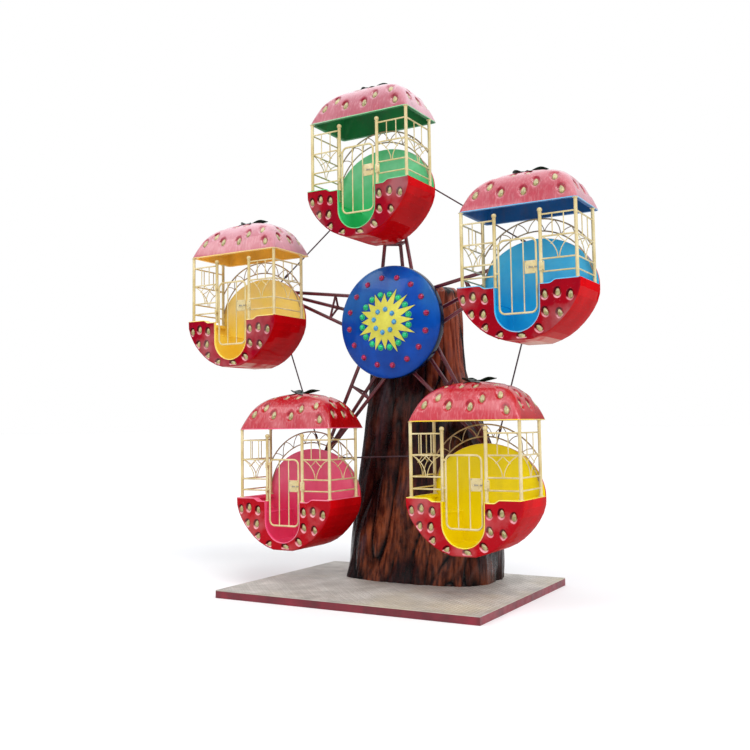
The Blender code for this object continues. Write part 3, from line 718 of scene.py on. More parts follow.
def tub_hollow():
    """Everything that is hollow in a tub, as one tool: foot well, benches, mouth, dipped rim and gateway."""
    well_x = 0.270
    inner = [(0.576, RIM_Z - 0.030), (0.575, RIM_Z - 0.08), (0.562, RIM_Z - 0.12), (0.549, BENCH_Z),
             (well_x, BENCH_Z), (well_x, RIM_Z - 0.460)]
    inner += [(-x, z) for x, z in reversed(inner)]
    tool = rounded_cutter(inner, TUB_Y0 + 0.025, PANEL_Y, 0.006)
    mouth = [(0.540, RIM_Z - 0.045), (0.540, RIM_Z + 0.06), (-0.540, RIM_Z + 0.06), (-0.540, RIM_Z - 0.045)]
    boolean(tool, rounded_cutter(mouth, -0.515, PANEL_Y, 0.0), "UNION")
    lower = [(x / 100.0, tub_top(x / 100.0)) for x in range(-40, 41)]
    lower = [(-0.40, RIM_Z + 0.05)] + lower + [(0.40, RIM_Z + 0.05)]
    boolean(tool, rounded_cutter(lower, TUB_Y0 - 0.05, -0.500, 0.0), "UNION")
    arch = [(GATEWAY_R, RIM_Z + 0.055)]
    for i in range(49):
        a = -math.pi * i / 48
        arch.append((GATEWAY_R * math.cos(a), GATEWAY_Z + GATEWAY_R * math.sin(a)))
    arch.append((-GATEWAY_R, RIM_Z + 0.055))
    boolean(tool, rounded_cutter(arch, TUB_Y0 - 0.05, -0.495, 0.0), "UNION")
    return tool


def tub_back():
    """Back wall that rises above the rim as half an oval, with its face in the second paint."""
    half = 0.6005
    outline = [(half, RIM_Z - 0.05), (half, RIM_Z)]
    for i in range(1, 72):
        a = math.pi * i / 72
        outline.append((half * math.cos(a), RIM_Z + (OVAL_TOP - RIM_Z) * math.sin(a)))
    outline += [(-half, RIM_Z), (-half, RIM_Z - 0.05)]
    middle = RIM_Z + 0.1
    rings = []
    for y, shrink in ((PANEL_Y, 0.994), (PANEL_Y + 0.002, 0.998), (PANEL_Y + 0.005, 1.0),
                      (TUB_Y1 - 0.0055, 1.0), (TUB_Y1 - 0.0005, 0.992)):
        rings.append([(x * shrink, y, middle + (z - middle) * shrink) for x, z in outline])
    wall = Shape()
    wall.skin(rings)
    wall.paints[-2] = 1
    return wall.make("panel", BLANKS)


def build_tub():
    tub, seeds = tub_body()
    boolean(tub, tub_hollow(), "DIFFERENCE")
    boolean(tub, tub_back(), "UNION")
    for face in tub.data.polygons:
        if face.normal.z > 0.9 and face.center.z > RIM_Z - 0.002:
            face.material_index = 1
    return tub, seeds


def rim_path():
    """Line of the trim bead: along the rim, through the dips and round the gateway."""
    inset = 0.0065
    x = TUB_SHAPE[0][1] - inset
    y = TUB_Y0 + 0.0045
    path = [(x, TUB_Y1 - 0.020 - 0.10 * i, RIM_Z - 0.002) for i in range(6)]
    for i in range(7):
        a = math.pi / 2 * i / 6
        path.append((x - 0.012 + 0.012 * math.cos(a), y + 0.012 - 0.012 * math.sin(a), RIM_Z - 0.002))
    for i in range(1, 25):
        q = (x - 0.012) + (GATEWAY_R + 0.006 - x + 0.012) * i / 24
        path.append((q, y, tub_top(q) - 0.002))
    for i in range(33):
        a = -math.pi / 2 * i / 32
        path.append(((GATEWAY_R + 0.004) * math.cos(a), y, GATEWAY_Z + (GATEWAY_R + 0.004) * math.sin(a)))
    left = [(-px, py, pz) for px, py, pz in reversed(path[:-1])]
    return path + left


def tub_extras(seeds):
    """Seeds, rim bead, bearing and small fittings of a tub."""
    shape = Shape()
    add_seeds(shape, seeds, 2)
    shape.tube(rim_path(), 0.0058, 8, 3)
    end = HOUSING_END_Y - TUB_Y1
    bearing = ((0.090, -0.003), (0.090, 0.006), (0.087, 0.009), (0.060, 0.009), (0.0565, 0.012),
               (0.055, 0.018), (0.055, end - 0.030), (0.0550, end - 0.028), (0.0550, end - 0.004),
               (0.0525, end), (0.040, end), (0.039, end - 0.004), (0.0222, end - 0.004), (0.0222, 0.0008))
    shape.turned(bearing, (0, TUB_Y1, 0), BACK, 36, 4)
    # Bolts in the flange, and gussets between it and the bearing tube
    gusset = ((0.052, 0.007), (0.086, 0.007), (0.080, 0.014), (0.0575, 0.058), (0.052, 0.058))
    for i in range(6):
        a = math.pi / 6 + math.pi / 3 * i
        shape.bolt((0.075 * math.cos(a), TUB_Y1 + 0.0085, 0.075 * math.sin(a)), BACK, 0.0050, 0.008, 4)
        a += math.pi / 6
        c, s = math.cos(a), math.sin(a)
        faces = []
        for t in (-0.0025, 0.0025):
            faces.append([(r * c - t * s, TUB_Y1 + h, r * s + t * c) for r, h in gusset])
        shape.skin(faces, 4)
    # Hard lip along the edge of each bench
    for s in (-1, 1):
        shape.tube([(s * 0.271, y, BENCH_Z - 0.003) for y in (-0.565, -0.045)], 0.006, 8, 1)
    return shape


# Roof

# Seeds on the front and back: x and z; on the sides: y and z; on the top: x and y; then how far each leans
ROOF_FRONT = ((-0.165, 0.487, 0.1), (0.060, 0.480, 0.0), (-0.290, 0.583, 0.2), (0.172, 0.562, -0.1),
              (0.352, 0.585, -0.3), (0.430, 0.440, -0.3), (-0.432, 0.500, 0.3))
ROOF_BACK = ((-0.300, 0.480, 0.2), (-0.060, 0.500, 0.0), (0.180, 0.475, -0.1), (0.400, 0.500, -0.3),
             (-0.180, 0.590, 0.1), (0.060, 0.592, 0.0), (0.300, 0.590, -0.2))
ROOF_SIDE = ((-0.400, 0.492, 0.1), (-0.200, 0.490, -0.1), (-0.010, 0.500, 0.1), (-0.300, 0.600, 0.0),
             (-0.110, 0.600, 0.0))
ROOF_TOP = ((-0.087, -0.375, 0.0), (0.060, -0.365, 0.2), (0.262, -0.340, 0.3), (-0.270, -0.345, -0.3),
            (-0.330, -0.190, 0.2), (0.330, -0.190, -0.2), (-0.080, -0.085, 0.1), (0.110, -0.090, -0.1),
            (-0.260, -0.110, 0.3), (0.270, -0.120, 0.0))
ROOF_SEED = 1.12
ROOF_LEVELS = 6
ROOF_CORNER = 9
ROOF_LONG = 104
ROOF_SHORT = 58


def roof_ring(a, b, corner, z):
    """Rounded rectangle with evenly spread points on its straight sides."""
    half_x, half_y = ROOF_HALF_X * a, ROOF_HALF_Y * b
    corner = min(corner, half_x * 0.96, half_y * 0.96)
    ring = []
    for sx, sy, start, n in ((1, 1, 0, ROOF_LONG), (-1, 1, 90, ROOF_SHORT), (-1, -1, 180, ROOF_LONG),
                             (1, -1, 270, ROOF_SHORT)):
        for i in range(ROOF_CORNER):
            t = math.radians(start + 90 * i / (ROOF_CORNER - 1))
            ring.append((sx * (half_x - corner) + corner * math.cos(t),
                         ROOF_MID_Y + sy * (half_y - corner) + corner * math.sin(t), z))
        px, py, _ = ring[-1]
        nsx, nsy = (-sx, sy) if start in (0, 180) else (sx, -sy)
        t = math.radians(start + 90)
        qx = nsx * (half_x - corner) + corner * math.cos(t)
        qy = ROOF_MID_Y + nsy * (half_y - corner) + corner * math.sin(t)
        for i in range(1, n):
            ring.append((px + (qx - px) * i / n, py + (qy - py) * i / n, z))
    return ring


def roof_seeds(points):
    """Finds the surface point nearest to each listed seed, with its lean and size."""
    wanted = []
    for x, z, lean in ROOF_FRONT:
        wanted.append(((x, -0.60, z), (0, -1), lean, ROOF_SEED))
    for x, z, lean in ROOF_BACK:
        wanted.append(((x, 0.14, z), (0, 1), lean, ROOF_SEED))
    for y, z, lean in ROOF_SIDE:
        wanted.append(((0.62, y, z), (1, 0), lean, ROOF_SEED))
        wanted.append(((-0.62, y, z), (-1, 0), -lean, ROOF_SEED))
    for x, y, lean in ROOF_TOP:
        wanted.append(((x, y, 0.80), None, lean, 0.9 * ROOF_SEED))
    found = []
    for spot, face, lean, size in wanted:
        best, least = None, 1e9
        for i, p in enumerate(points):
            if face is None:
                d = (p[0] - spot[0]) ** 2 + (p[1] - spot[1]) ** 2
            elif face[0]:
                if p[0] * face[0] < 0.2:
                    continue
                d = (p[1] - spot[1]) ** 2 + (p[2] - spot[2]) ** 2 - 0.02 * abs(p[0])
            else:
                if (p[1] - ROOF_MID_Y) * face[1] < 0.1:
                    continue
                d = (p[0] - spot[0]) ** 2 + (p[2] - spot[2]) ** 2 - 0.02 * abs(p[1] - ROOF_MID_Y)
            if d < least:
                best, least = i, d
        found.append((best, lean, size))
    return found


def build_roof():
    profile = spline(ROOF_SHAPE, ROOF_LEVELS)
    rings = []
    for f in (0.12, 0.5, 0.85):
        rings.append(roof_ring(*(size * f for size in ROOF_CAP), ROOF_Z + ROOF_H))
    for z, a, b, c in reversed(profile):
        rings.append(roof_ring(a, b, c, ROOF_Z + min(z, ROOF_H)))
    outer = len(rings)
    n = len(rings[0])
    points = [p for ring in rings for p in ring]
    # Each seed faces along the normal of the smooth skin, from its neighbours on the grid
    mid = Vector((0, ROOF_MID_Y, ROOF_Z + 0.02))
    seeds = []
    for i, lean, size in roof_seeds(points):
        row, col = divmod(i, n)
        up = points[max(0, row - 1) * n + col]
        down = points[min(outer - 1, row + 1) * n + col]
        left = points[row * n + (col - 1) % n]
        right = points[row * n + (col + 1) % n]
        normal = (Vector(right) - Vector(left)).cross(Vector(down) - Vector(up)).normalized()
        here = Vector(points[i])
        if normal.dot(here - mid) < 0:
            normal.negate()
        u, v, w = seed_frame(normal, lean)
        seeds.append((here, u, v, w, size))
    sunk = dent(points, seeds)
    # Rim edge and the hollow underside
    lower = []
    for a, b, c, z in ((0.996, 0.994, 0.030, ROOF_Z - 0.0002), (0.930, 0.880, 0.030, ROOF_Z),
                       (0.9225, 0.875, 0.033, ROOF_Z + 0.010), (0.915, 0.868, 0.040, ROOF_Z + 0.030),
                       (0.862, 0.812, 0.055, ROOF_Z + 0.100), (0.80, 0.74, 0.070, ROOF_Z + 0.170),
                       (0.72, 0.642, 0.076, ROOF_Z + 0.220), (0.62, 0.52, 0.080, ROOF_Z + 0.260),
                       (0.36, 0.28, 0.050, ROOF_Z + 0.310), (0.05, 0.04, 0.008, ROOF_Z + 0.312)):
        lower.append(roof_ring(a, b, c, z))
    shape = Shape()
    shape.skin([points[i * n:(i + 1) * n] for i in range(outer)] + lower)
    for i in range(outer * n, len(shape.faces) - 2):
        shape.paints[i] = 1
    shape.paints[-1] = 1
    add_seeds(shape, seeds, 2)
    # Rolled lip along the rim
    lip = roof_ring(0.993, 0.988, 0.030, ROOF_Z + 0.004)
    shape.tube(lip[::3], 0.0052, 8, 3, loop=True)
    roof = shape.make("roof_master", [])
    mark(roof, "dent", sunk)
    return roof


# Sepals: direction, length, half width, how far the tip turns up and how far the edges curl up
SEPALS = ((0.48, 0.192, 0.054, 0.036, 0.028), (1.30, 0.125, 0.038, 0.006, 0.006),
          (2.06, 0.125, 0.040, 0.006, 0.006), (2.74, 0.176, 0.056, 0.038, 0.030),
          (3.95, 0.128, 0.040, 0.004, 0.004), (5.35, 0.125, 0.040, 0.004, 0.004))
LEAF_STRETCH = 1.08
LEAF_DROOP = 0.020


def build_leaf():
    """Six broad sepals: one to each side turns up, the others lie low and follow the roof down."""
    shape = Shape()
    base = ROOF_Z + ROOF_H + 0.0008
    rows, cols = 18, 11
    for k, (turn, long, wide, rise, curl) in enumerate(SEPALS):
        droop = LEAF_DROOP * abs(math.sin(turn)) if curl < 0.02 else 0.0
        top, low = [], []
        for i in range(rows):
            s = i / (rows - 1)
            r = 0.010 + (long - 0.010) * s
            half = wide * math.sin(math.pi * (0.16 + 0.84 * s) ** 0.95) ** 0.7 + 0.0012
            body = 0.0165 if curl > 0.02 else 0.0085
            thick = body * (1 - 0.75 * s) + 0.0012
            over, under = [], []
            for j in range(cols):
                q = -1 + 2 * j / (cols - 1)
                rib = 0.0040 * (1 - abs(q)) ** 2 * (1 - s)
                wave = curl * q * q * math.sin(math.pi * s) + 0.002 * math.sin(9 * s + 2.0 * k) * q * s
                y = half * q
                px = LEAF_STRETCH * (r * math.cos(turn) - y * math.sin(turn))
                py = r * math.sin(turn) + y * math.cos(turn)
                z = base + rise * s ** 1.3 + wave + 0.002 * (1 - s) - droop * s * s
                edge = 1.0 - 0.8 * q * q
                over.append((px, ROOF_MID_Y + py, z + thick * edge + rib))
                under.append((px, ROOF_MID_Y + py, max(base - droop * s * s, z - thick * 0.6 * edge)))
            top.append(over)
            low.append(under)
        shape.skin([over + list(reversed(under)) for over, under in zip(top, low)], 0)
    knob = ((0.030, 0.0), (0.032, 0.007), (0.027, 0.012), (0.019, 0.015), (0.012, 0.018),
            (0.009, 0.024), (0.0095, 0.029), (0.006, 0.031))
    shape.turned(knob, (0, ROOF_MID_Y, base), UP, 20)
    return shape


# Cage and gate
RAIL_R = 0.0080
UPRIGHT_R = 0.0053
CURVE_R = 0.0047


def panel_lines(shape, p0, p1):
    """Rails, uprights and tulip of one cage panel between two posts."""
    p0, p1 = Vector(p0), Vector(p1)

    def at(f, z):
        q = p0.lerp(p1, f)
        return (q.x, q.y, z)

    for z in RAILS:
        shape.tube([at(0, z), at(1, z)], RAIL_R, 12)
    for f in (0.34, 0.66):
        shape.tube([at(f, RAILS[0]), at(f, RAILS[1])], UPRIGHT_R, 10)
    top, drop = RAILS[1] - 0.004, RAILS[1] - RAILS[2] - 0.008
    for side in (0, 1):
        big, small = [], []
        for i in range(15):
            turn = math.pi / 2 * i / 14
            f = 0.03 + 0.445 * math.sin(turn) ** 1.08
            z = top - drop * (1 - math.cos(turn)) ** 0.80
            big.append(at(abs(side - f), z))
        for i in range(9):
            t = i / 8
            f = 0.5 - 0.215 * t ** 1.25
            small.append(at(abs(side - f), top - drop * 0.36 * t))
        shape.tube(big, CURVE_R, 8)
        shape.tube(small, CURVE_R * 0.92, 8)


# Posts as (radius, height) above the rim
CORNER_POST = ((0.030, 0.0006), (0.030, 0.004), (0.0225, 0.009), (POST_R, 0.012), (POST_R, 0.722),
               (0.026, 0.7245), (0.026, 0.7275))
GATE_POST = ((0.027, 0.0006), (0.027, 0.004), (0.0205, 0.009), (POST_R, 0.012), (POST_R, 0.650),
             (0.0190, 0.653), (0.0190, 0.660), (0.0145, 0.6625), (0.0145, 0.6655), (0.0190, 0.6700),
             (0.0225, 0.6765), (0.0240, 0.6840), (0.0231, 0.6915), (0.0198, 0.6985), (0.0141, 0.7040),
             (0.0075, 0.7068))
# Arch rails at the back: radius and centre height of the outer one, height of the inner one
ARCH_R = 0.632
ARCH_Z = -0.332
INNER_ARCH_H = 0.574


def build_cage():
    """Posts, rails and uprights of a cabin, with the two arch rails at the back."""
    shape = Shape()
    for x in (-POST_X, POST_X):
        for y in (POST_Y0, POST_Y1):
            shape.turned(CORNER_POST, (x, y, RIM_Z), UP, 20)
            for i in range(3):
                a = 2 * math.pi * i / 3 + 0.5
                # No bolt where it would stand over the tub's edge
                if abs(x + 0.024 * math.cos(a)) < 0.585:
                    shape.bolt((x + 0.0262 * math.cos(a), y + 0.0262 * math.sin(a), RIM_Z + 0.003), UP,
                               0.0028, 0.004, 1)
    for x in (-GATE_POST_X, GATE_POST_X):
        shape.turned(GATE_POST, (x, POST_Y0, GATE_RIM_Z), UP, 22)
    for s in (-1, 1):
        panel_lines(shape, (s * POST_X, POST_Y0, 0), (s * GATE_POST_X, POST_Y0, 0))
        panel_lines(shape, (s * POST_X, POST_Y0, 0), (s * POST_X, POST_Y1, 0))
    # Two arch rails at the back, joined by curved struts
    outer, inner = [], []
    for i in range(49):
        x = 0.546 * math.cos(math.pi * i / 48)
        outer.append((x, POST_Y1, ARCH_Z + math.sqrt(ARCH_R ** 2 - x * x)))
    for i in range(49):
        a = math.radians(14.5 + 151 * i / 48)
        inner.append((POST_X * math.cos(a), POST_Y1, RIM_Z + INNER_ARCH_H * math.sin(a)))
    shape.tube(outer, 0.0076, 10, 2)
    shape.tube(inner, 0.0070, 10, 2)
    struts = 12
    for i in range(struts):
        a0 = math.radians(38 + 104 * i / struts)
        a1 = math.radians(38 + 104 * (i + 1) / struts)
        if i % 2:
            a0, a1 = a1, a0
        p = Vector((ARCH_R * math.cos(a0), POST_Y1, ARCH_Z + ARCH_R * math.sin(a0)))
        q = Vector((POST_X * math.cos(a1), POST_Y1, RIM_Z + INNER_ARCH_H * math.sin(a1)))
        side = (q - p).cross(Vector((0, 1, 0))).normalized() * (0.014 if i % 2 else -0.014)
        line = [p.lerp(q, t / 8) + side * math.sin(math.pi * t / 8) for t in range(9)]
        shape.tube(line, 0.0046, 8, 2)
    # Hinge barrels on the left gate post and the keeper on the right one
    for z in (-0.340, -0.075):
        shape.turned(((0.007, 0.0), (0.009, 0.0015), (0.009, 0.0285), (0.007, 0.030)),
                     (HINGE_X, HINGE_Y, z), UP, 14, 0)
        mid = z + 0.015
        for strap in (mid - 0.007, mid, mid + 0.007):
            shape.tube([(-GATE_POST_X + 0.006, POST_Y0 - 0.004, strap),
                        (HINGE_X - 0.002, HINGE_Y + 0.004, strap)], 0.0042, 8)
    shape.block((0.2115, POST_Y0 - 0.0245, -0.305), (0.262, POST_Y0 - 0.010, -0.215), 0.003)
    shape.block((0.214, POST_Y0 - 0.0290, -0.276), (0.232, POST_Y0 - 0.0235, -0.248), 0.002)
    for z in (-0.295, -0.225):
        shape.bolt((0.250, POST_Y0 - 0.024, z), FRONT, 0.0032, 0.004, 1)
    return shape


def build_gate():
    """Gate in coordinates measured from its hinge line, at pivot height."""
    shape = Shape()
    y = GATE_Y - HINGE_Y
    x0, x1 = 0.016, 0.384
    z0, z1 = -0.675, 0.013
    r = 0.058
    path = []
    corners = ((x1 - r, z1 - r, 0), (x0 + r, z1 - r, 90), (x0 + r, z0 + r, 180), (x1 - r, z0 + r, 270))
    for cx, cz, start in corners:
        for i in range(9):
            a = math.radians(start + 90 * i / 8)
            path.append((cx + r * math.cos(a), y, cz + r * math.sin(a)))
    shape.tube(path, 0.0098, 12, loop=True)
    for f in (0.335, 0.665):
        x = x0 + (x1 - x0) * f
        shape.tube([(x, y, z0), (x, y, z1)], 0.0060, 10)
    # Latch plate with a slide bolt in two keepers
    plate_y = y - 0.0165
    shape.block((x1 - 0.108, plate_y, -0.320), (x1 + 0.008, y - 0.0045, -0.200), 0.003)
    bolt_y = y - 0.019
    shape.turned(((0.0050, 0.0), (0.0062, 0.0012), (0.0062, 0.096), (0.0045, 0.099)),
                 (x1 - 0.085, bolt_y, -0.262), RIGHT, 12, 1)
    for x in (x1 - 0.075, x1 - 0.018):
        shape.block((x - 0.006, bolt_y - 0.0075, -0.274), (x + 0.006, plate_y + 0.001, -0.250), 0.0018)
    shape.turned(((0.0030, 0.0), (0.0030, 0.010), (0.0058, 0.0125), (0.0062, 0.0165), (0.0040, 0.019)),
                 (x1 - 0.048, bolt_y - 0.004, -0.262), FRONT, 12, 1)
    for x in (x1 - 0.099, x1 - 0.002):
        for z in (-0.311, -0.209):
            shape.bolt((x, plate_y + 0.001, z), FRONT, 0.0028, 0.0035, 1)
    for z in (-0.309, -0.044):
        shape.turned(((0.007, 0.0), (0.009, 0.0015), (0.009, 0.0245), (0.007, 0.026)), (0, 0, z), UP, 14)
        for lift in (-0.006, 0.0, 0.006):
            strap = z + 0.013 + lift
            shape.tube([(0.002, 0.004, strap), (x0 + 0.002, y - 0.003, strap)], 0.0040, 8)
    return shape


# Wheel

def build_arm():
    """Three-chord arm that points up from the hub centre."""
    shape = Shape()
    tip = Vector((0, ARM_Y, PIVOT_R))
    foot = HUB_FLAT
    corner = Shape()
    corner.block((-0.245, -(foot + 0.014), HUB_Y0 + 0.004), (0.245, -foot, HUB_Y1 - 0.004), 0.004)
    start = len(shape.points)
    shape.points += [(x, z, -y) for x, y, z in corner.points]
    shape.faces += [tuple(start + i for i in f) for f in corner.faces]
    shape.paints += corner.paints
    nodes = []
    for x, y in ((-ARM_SPREAD, ARM_Y), (ARM_SPREAD, ARM_Y), (0.0, ARM_Y + ARM_BACK)):
        begin = Vector((x, y, 0))
        line = tip - begin
        p0 = begin + line * ((foot + 0.009) / PIVOT_R)
        node = begin + line * (RUNG_AT / PIVOT_R)
        nodes.append(node)
        end = tip - line.normalized() * 0.012
        shape.tube([p0, end], CHORD_R, 18)
        # Weld bead at the foot
        shape.tube([p0 + line.normalized() * d for d in (-0.002, 0.003, 0.007)], CHORD_R, 18,
                   taper=(1.34, 1.26, 1.0))
    for a, b in ((0, 1), (0, 2), (1, 2)):
        p, q = nodes[a], nodes[b]
        d = (q - p).normalized()
        shape.tube([p, q], RUNG_R, 14)
        for end, way in ((p, d), (q, -d)):
            shape.tube([end + way * h for h in (0.014, 0.021, 0.026)], RUNG_R, 14, taper=(1.55, 1.32, 1.0))
    boss = ((0.040, 0.156), (0.044, 0.158), (0.045, 0.162), (0.045, 0.198), (0.044, 0.202), (0.040, 0.204))
    collar = ((0.022, 0.203), (0.026, 0.204), (0.026, 0.208), (0.022, 0.2095))
    shaft = ((0.0175, 0.0125), (0.0200, 0.015), (0.0200, 0.160))
    for profile, n, paint in ((boss, 32, 0), (collar, 20, 1), (shaft, 24, 1)):
        shape.turned(profile, (0, 0, PIVOT_R), BACK, n, paint)
    for x in (-0.218, -0.12, 0.12, 0.218):
        for y in (0.30, 0.365):
            shape.bolt((x, y, foot + 0.0135), UP, 0.009, 0.013, 1)
    return shape


def build_tie():
    """Rod between two arm tips, with an end nut and a turnbuckle at each side."""
    shape = Shape()
    half = PIVOT_R * math.sin(STEP / 2) - 0.0447
    z = PIVOT_R * math.cos(STEP / 2)
    shape.tube([(-half, ARM_Y, z), (half, ARM_Y, z)], 0.0078, 14)
    for s in (-1, 1):
        shape.turned(((0.0155, 0.0), (0.0155, 0.012), (0.0100, 0.018)), (s * half, ARM_Y, z), (-s, 0, 0), 16)
        shape.turned(((0.0150, 0.0), (0.0155, 0.002), (0.0155, 0.050), (0.0150, 0.052)),
                     (s * (half - 0.19), ARM_Y, z), (-s, 0, 0), 6)
    return shape


def build_hub():
    """Five-sided drum with rounded corners, rims, bolts and the axle."""
    shape = Shape()
    r = (HUB_FLAT - 0.0003) / math.cos(math.pi / CABINS)
    corners = []
    for i in range(CABINS):
        a = FIRST_ANGLE + STEP * (i + 0.5)
        corners.append(Vector((r * math.sin(a), r * math.cos(a))))
    rings = []
    for y, shrink in ((HUB_Y0, 0.985), (HUB_Y0 + 0.0012, 0.994), (HUB_Y0 + 0.004, 1.0), (HUB_Y1 - 0.004, 1.0),
                      (HUB_Y1 - 0.0012, 0.994), (HUB_Y1, 0.985)):
        ring = []
        for i, c in enumerate(corners):
            before = (corners[i - 1] - c).normalized()
            after = (corners[(i + 1) % CABINS] - c).normalized()
            for t in range(6):
                f = t / 5
                cut = 0.012
                a, b = c + before * cut, c + after * cut
                q = a * (1 - f) ** 2 + c * 2 * f * (1 - f) + b * f ** 2
                ring.append((q.x * shrink, y, q.y * shrink))
        rings.append(ring)
    shape.skin(rings)
    shape.turned(((0.200, 0.399), (0.200, 0.4040), (0.196, 0.4065), (0.10, 0.4065)), (0, 0, 0), BACK, 48)
    shape.turned(((0.0905, 0.39), (0.0905, 0.583), (0.088, 0.585)), (0, 0, 0), BACK, 48, 1)
    for i in range(CABINS):
        a = FIRST_ANGLE + STEP * i
        way = Vector((math.sin(a), 0, math.cos(a)))
        across = Vector((math.cos(a), 0, -math.sin(a)))
        for x in (-0.14, 0.14):
            at = way * 0.27 + across * x
            shape.bolt((at.x, HUB_Y1 - 0.001, at.z), BACK, 0.009, 0.012, 1)
    return shape


def face_y(r):
    """Where the domed face of the disc lies at a radius."""
    return DISC_FACE_Y + DISC_CROWN * r * r


def build_disc():
    """Domed disc with a rounded edge and a flat back with a hub seat."""
    radii = [DISC_TURN_R * i / 26 for i in range(27)]
    profile = [(r, face_y(r)) for r in radii]
    turn = [profile[-1], (0.594, -0.028), (0.603, -0.008), (DISC_R, 0.016)]
    profile += spline(turn, 4)[1:]
    profile += [(DISC_R, 0.046), (DISC_R - 0.001, 0.054), (0.601, 0.060), (0.597, DISC_BACK_Y),
                (0.585, DISC_BACK_Y), (0.582, 0.058), (0.570, 0.056), (0.30, 0.056), (0.21, 0.058),
                (0.200, DISC_BACK_Y), (0.200, HUB_Y0 - 0.002)]
    shape = Shape()
    shape.turned(profile, (0, 0, 0), BACK, 144)
    return shape


def build_star():
    """Thin star that follows the disc. Every tip has its own length, and all valleys are alike."""
    tips = len(STAR_TIPS)
    per_edge = 5
    outline = []
    for i in range(tips):
        a0 = 2 * math.pi * i / tips
        ends = ((STAR_TIPS[i], STAR_VALLEY), (STAR_VALLEY, STAR_TIPS[(i + 1) % tips]))
        for half, (r0, r1) in enumerate(ends):
            a, b = a0 + half * math.pi / tips, a0 + (half + 1) * math.pi / tips
            p = Vector((r0 * math.cos(a), r0 * math.sin(a)))
            q = Vector((r1 * math.cos(b), r1 * math.sin(b)))
            for t in range(per_edge):
                v = p.lerp(q, t / per_edge)
                outline.append((v.length, math.atan2(v.y, v.x)))
    flat = (0.02, 0.25, 0.5, 0.75, 0.9)
    levels = [(f, 0.0015) for f in (*flat, 0.99)]
    levels += [(1.0, 0.0030), (1.0, 0.0062), (0.988, 0.0080)]
    levels += [(f, 0.0084) for f in reversed(flat)]
    rings = []
    for f, lift in levels:
        ring = []
        for r, a in outline:
            q = r * f if f < 0.97 else r - (1.0 - f) * 0.25
            ring.append((q * math.cos(a), face_y(q) - lift, q * math.sin(a)))
        rings.append(ring)
    shape = Shape()
    shape.skin(rings)
    return shape


# Rings of bulbs: how many, ring radius, first angle, bulb radius, and how far they are lifted
BULB_RINGS = ((16, 0.468, -7.0, 0.0262, 0.0), (16, 0.283, -10.5, 0.0282, 0.0),
              (8, 0.122, 8.5, 0.0225, 0.0084))


def build_bulbs():
    """Three rings of coloured caps, each in a round socket."""
    shape = Shape()
    for paint, (count, r, first, size, lift) in enumerate(BULB_RINGS):
        socket = ((size * 1.22, -0.004), (size * 1.24, 0.0025), (size * 1.10, 0.0048), (size * 0.9, 0.0052))
        cap = [(size, 0.003), (size, 0.010)]
        for t in range(1, 7):
            b = math.pi / 2 * t / 6
            cap.append((size * math.cos(b) * 0.98 + 0.0002, 0.010 + size * 0.72 * math.sin(b)))
        slope = 2 * DISC_CROWN * r
        for i in range(count):
            a = math.radians(first + 360.0 * i / count)
            out = Vector((slope * math.sin(a), -1.0, slope * math.cos(a))).normalized()
            at = Vector((r * math.sin(a), face_y(r) - lift, r * math.cos(a)))
            shape.turned(socket, at, out, 22, len(BULB_RINGS) + paint)
            shape.turned(cap, at, out, 22, paint)
    return shape


# Tower and platform
TRUNK_AROUND = 400
TRUNK_UP = 176
TRUNK_POWER = 3.4
TRUNK_COVER = 0.86
BARK_DEEP = 0.030
BARK_LEAN = 0.16


def trunk_point(row, t):
    """Point on the trunk's rounded outline at a share of the way round."""
    x0, x1, y0, y1 = row
    a = 2 * math.pi * t
    c, s = math.cos(a), math.sin(a)
    x = math.copysign(abs(c) ** (2 / TRUNK_POWER), c)
    y = math.copysign(abs(s) ** (2 / TRUNK_POWER), s)
    return (x0 + x1) / 2 + (x1 - x0) / 2 * x, (y0 + y1) / 2 + (y1 - y0) / 2 * y


def ridge_at(x, y, z):
    """Height of the bark between its grooves, 0 to 1, from wavering upright cells."""
    x -= BARK_LEAN * z
    flow = 0.10 * noise.noise(Vector((x * 1.3, y * 1.3, z * 0.9)))
    p = Vector((x * 5.2 + flow * 6, y * 5.2 - flow * 5, z * 0.62))
    broad = abs(noise.noise(p))
    fine = abs(noise.noise(Vector((x * 15 + 3.1, y * 15, z * 1.5))))
    plates = noise.noise(Vector((x * 5, y * 5 + 8.3, z * 2.6)))
    return min(1.0, 0.12 + 1.35 * broad ** 0.72 + 0.42 * fine + 0.16 * plates)


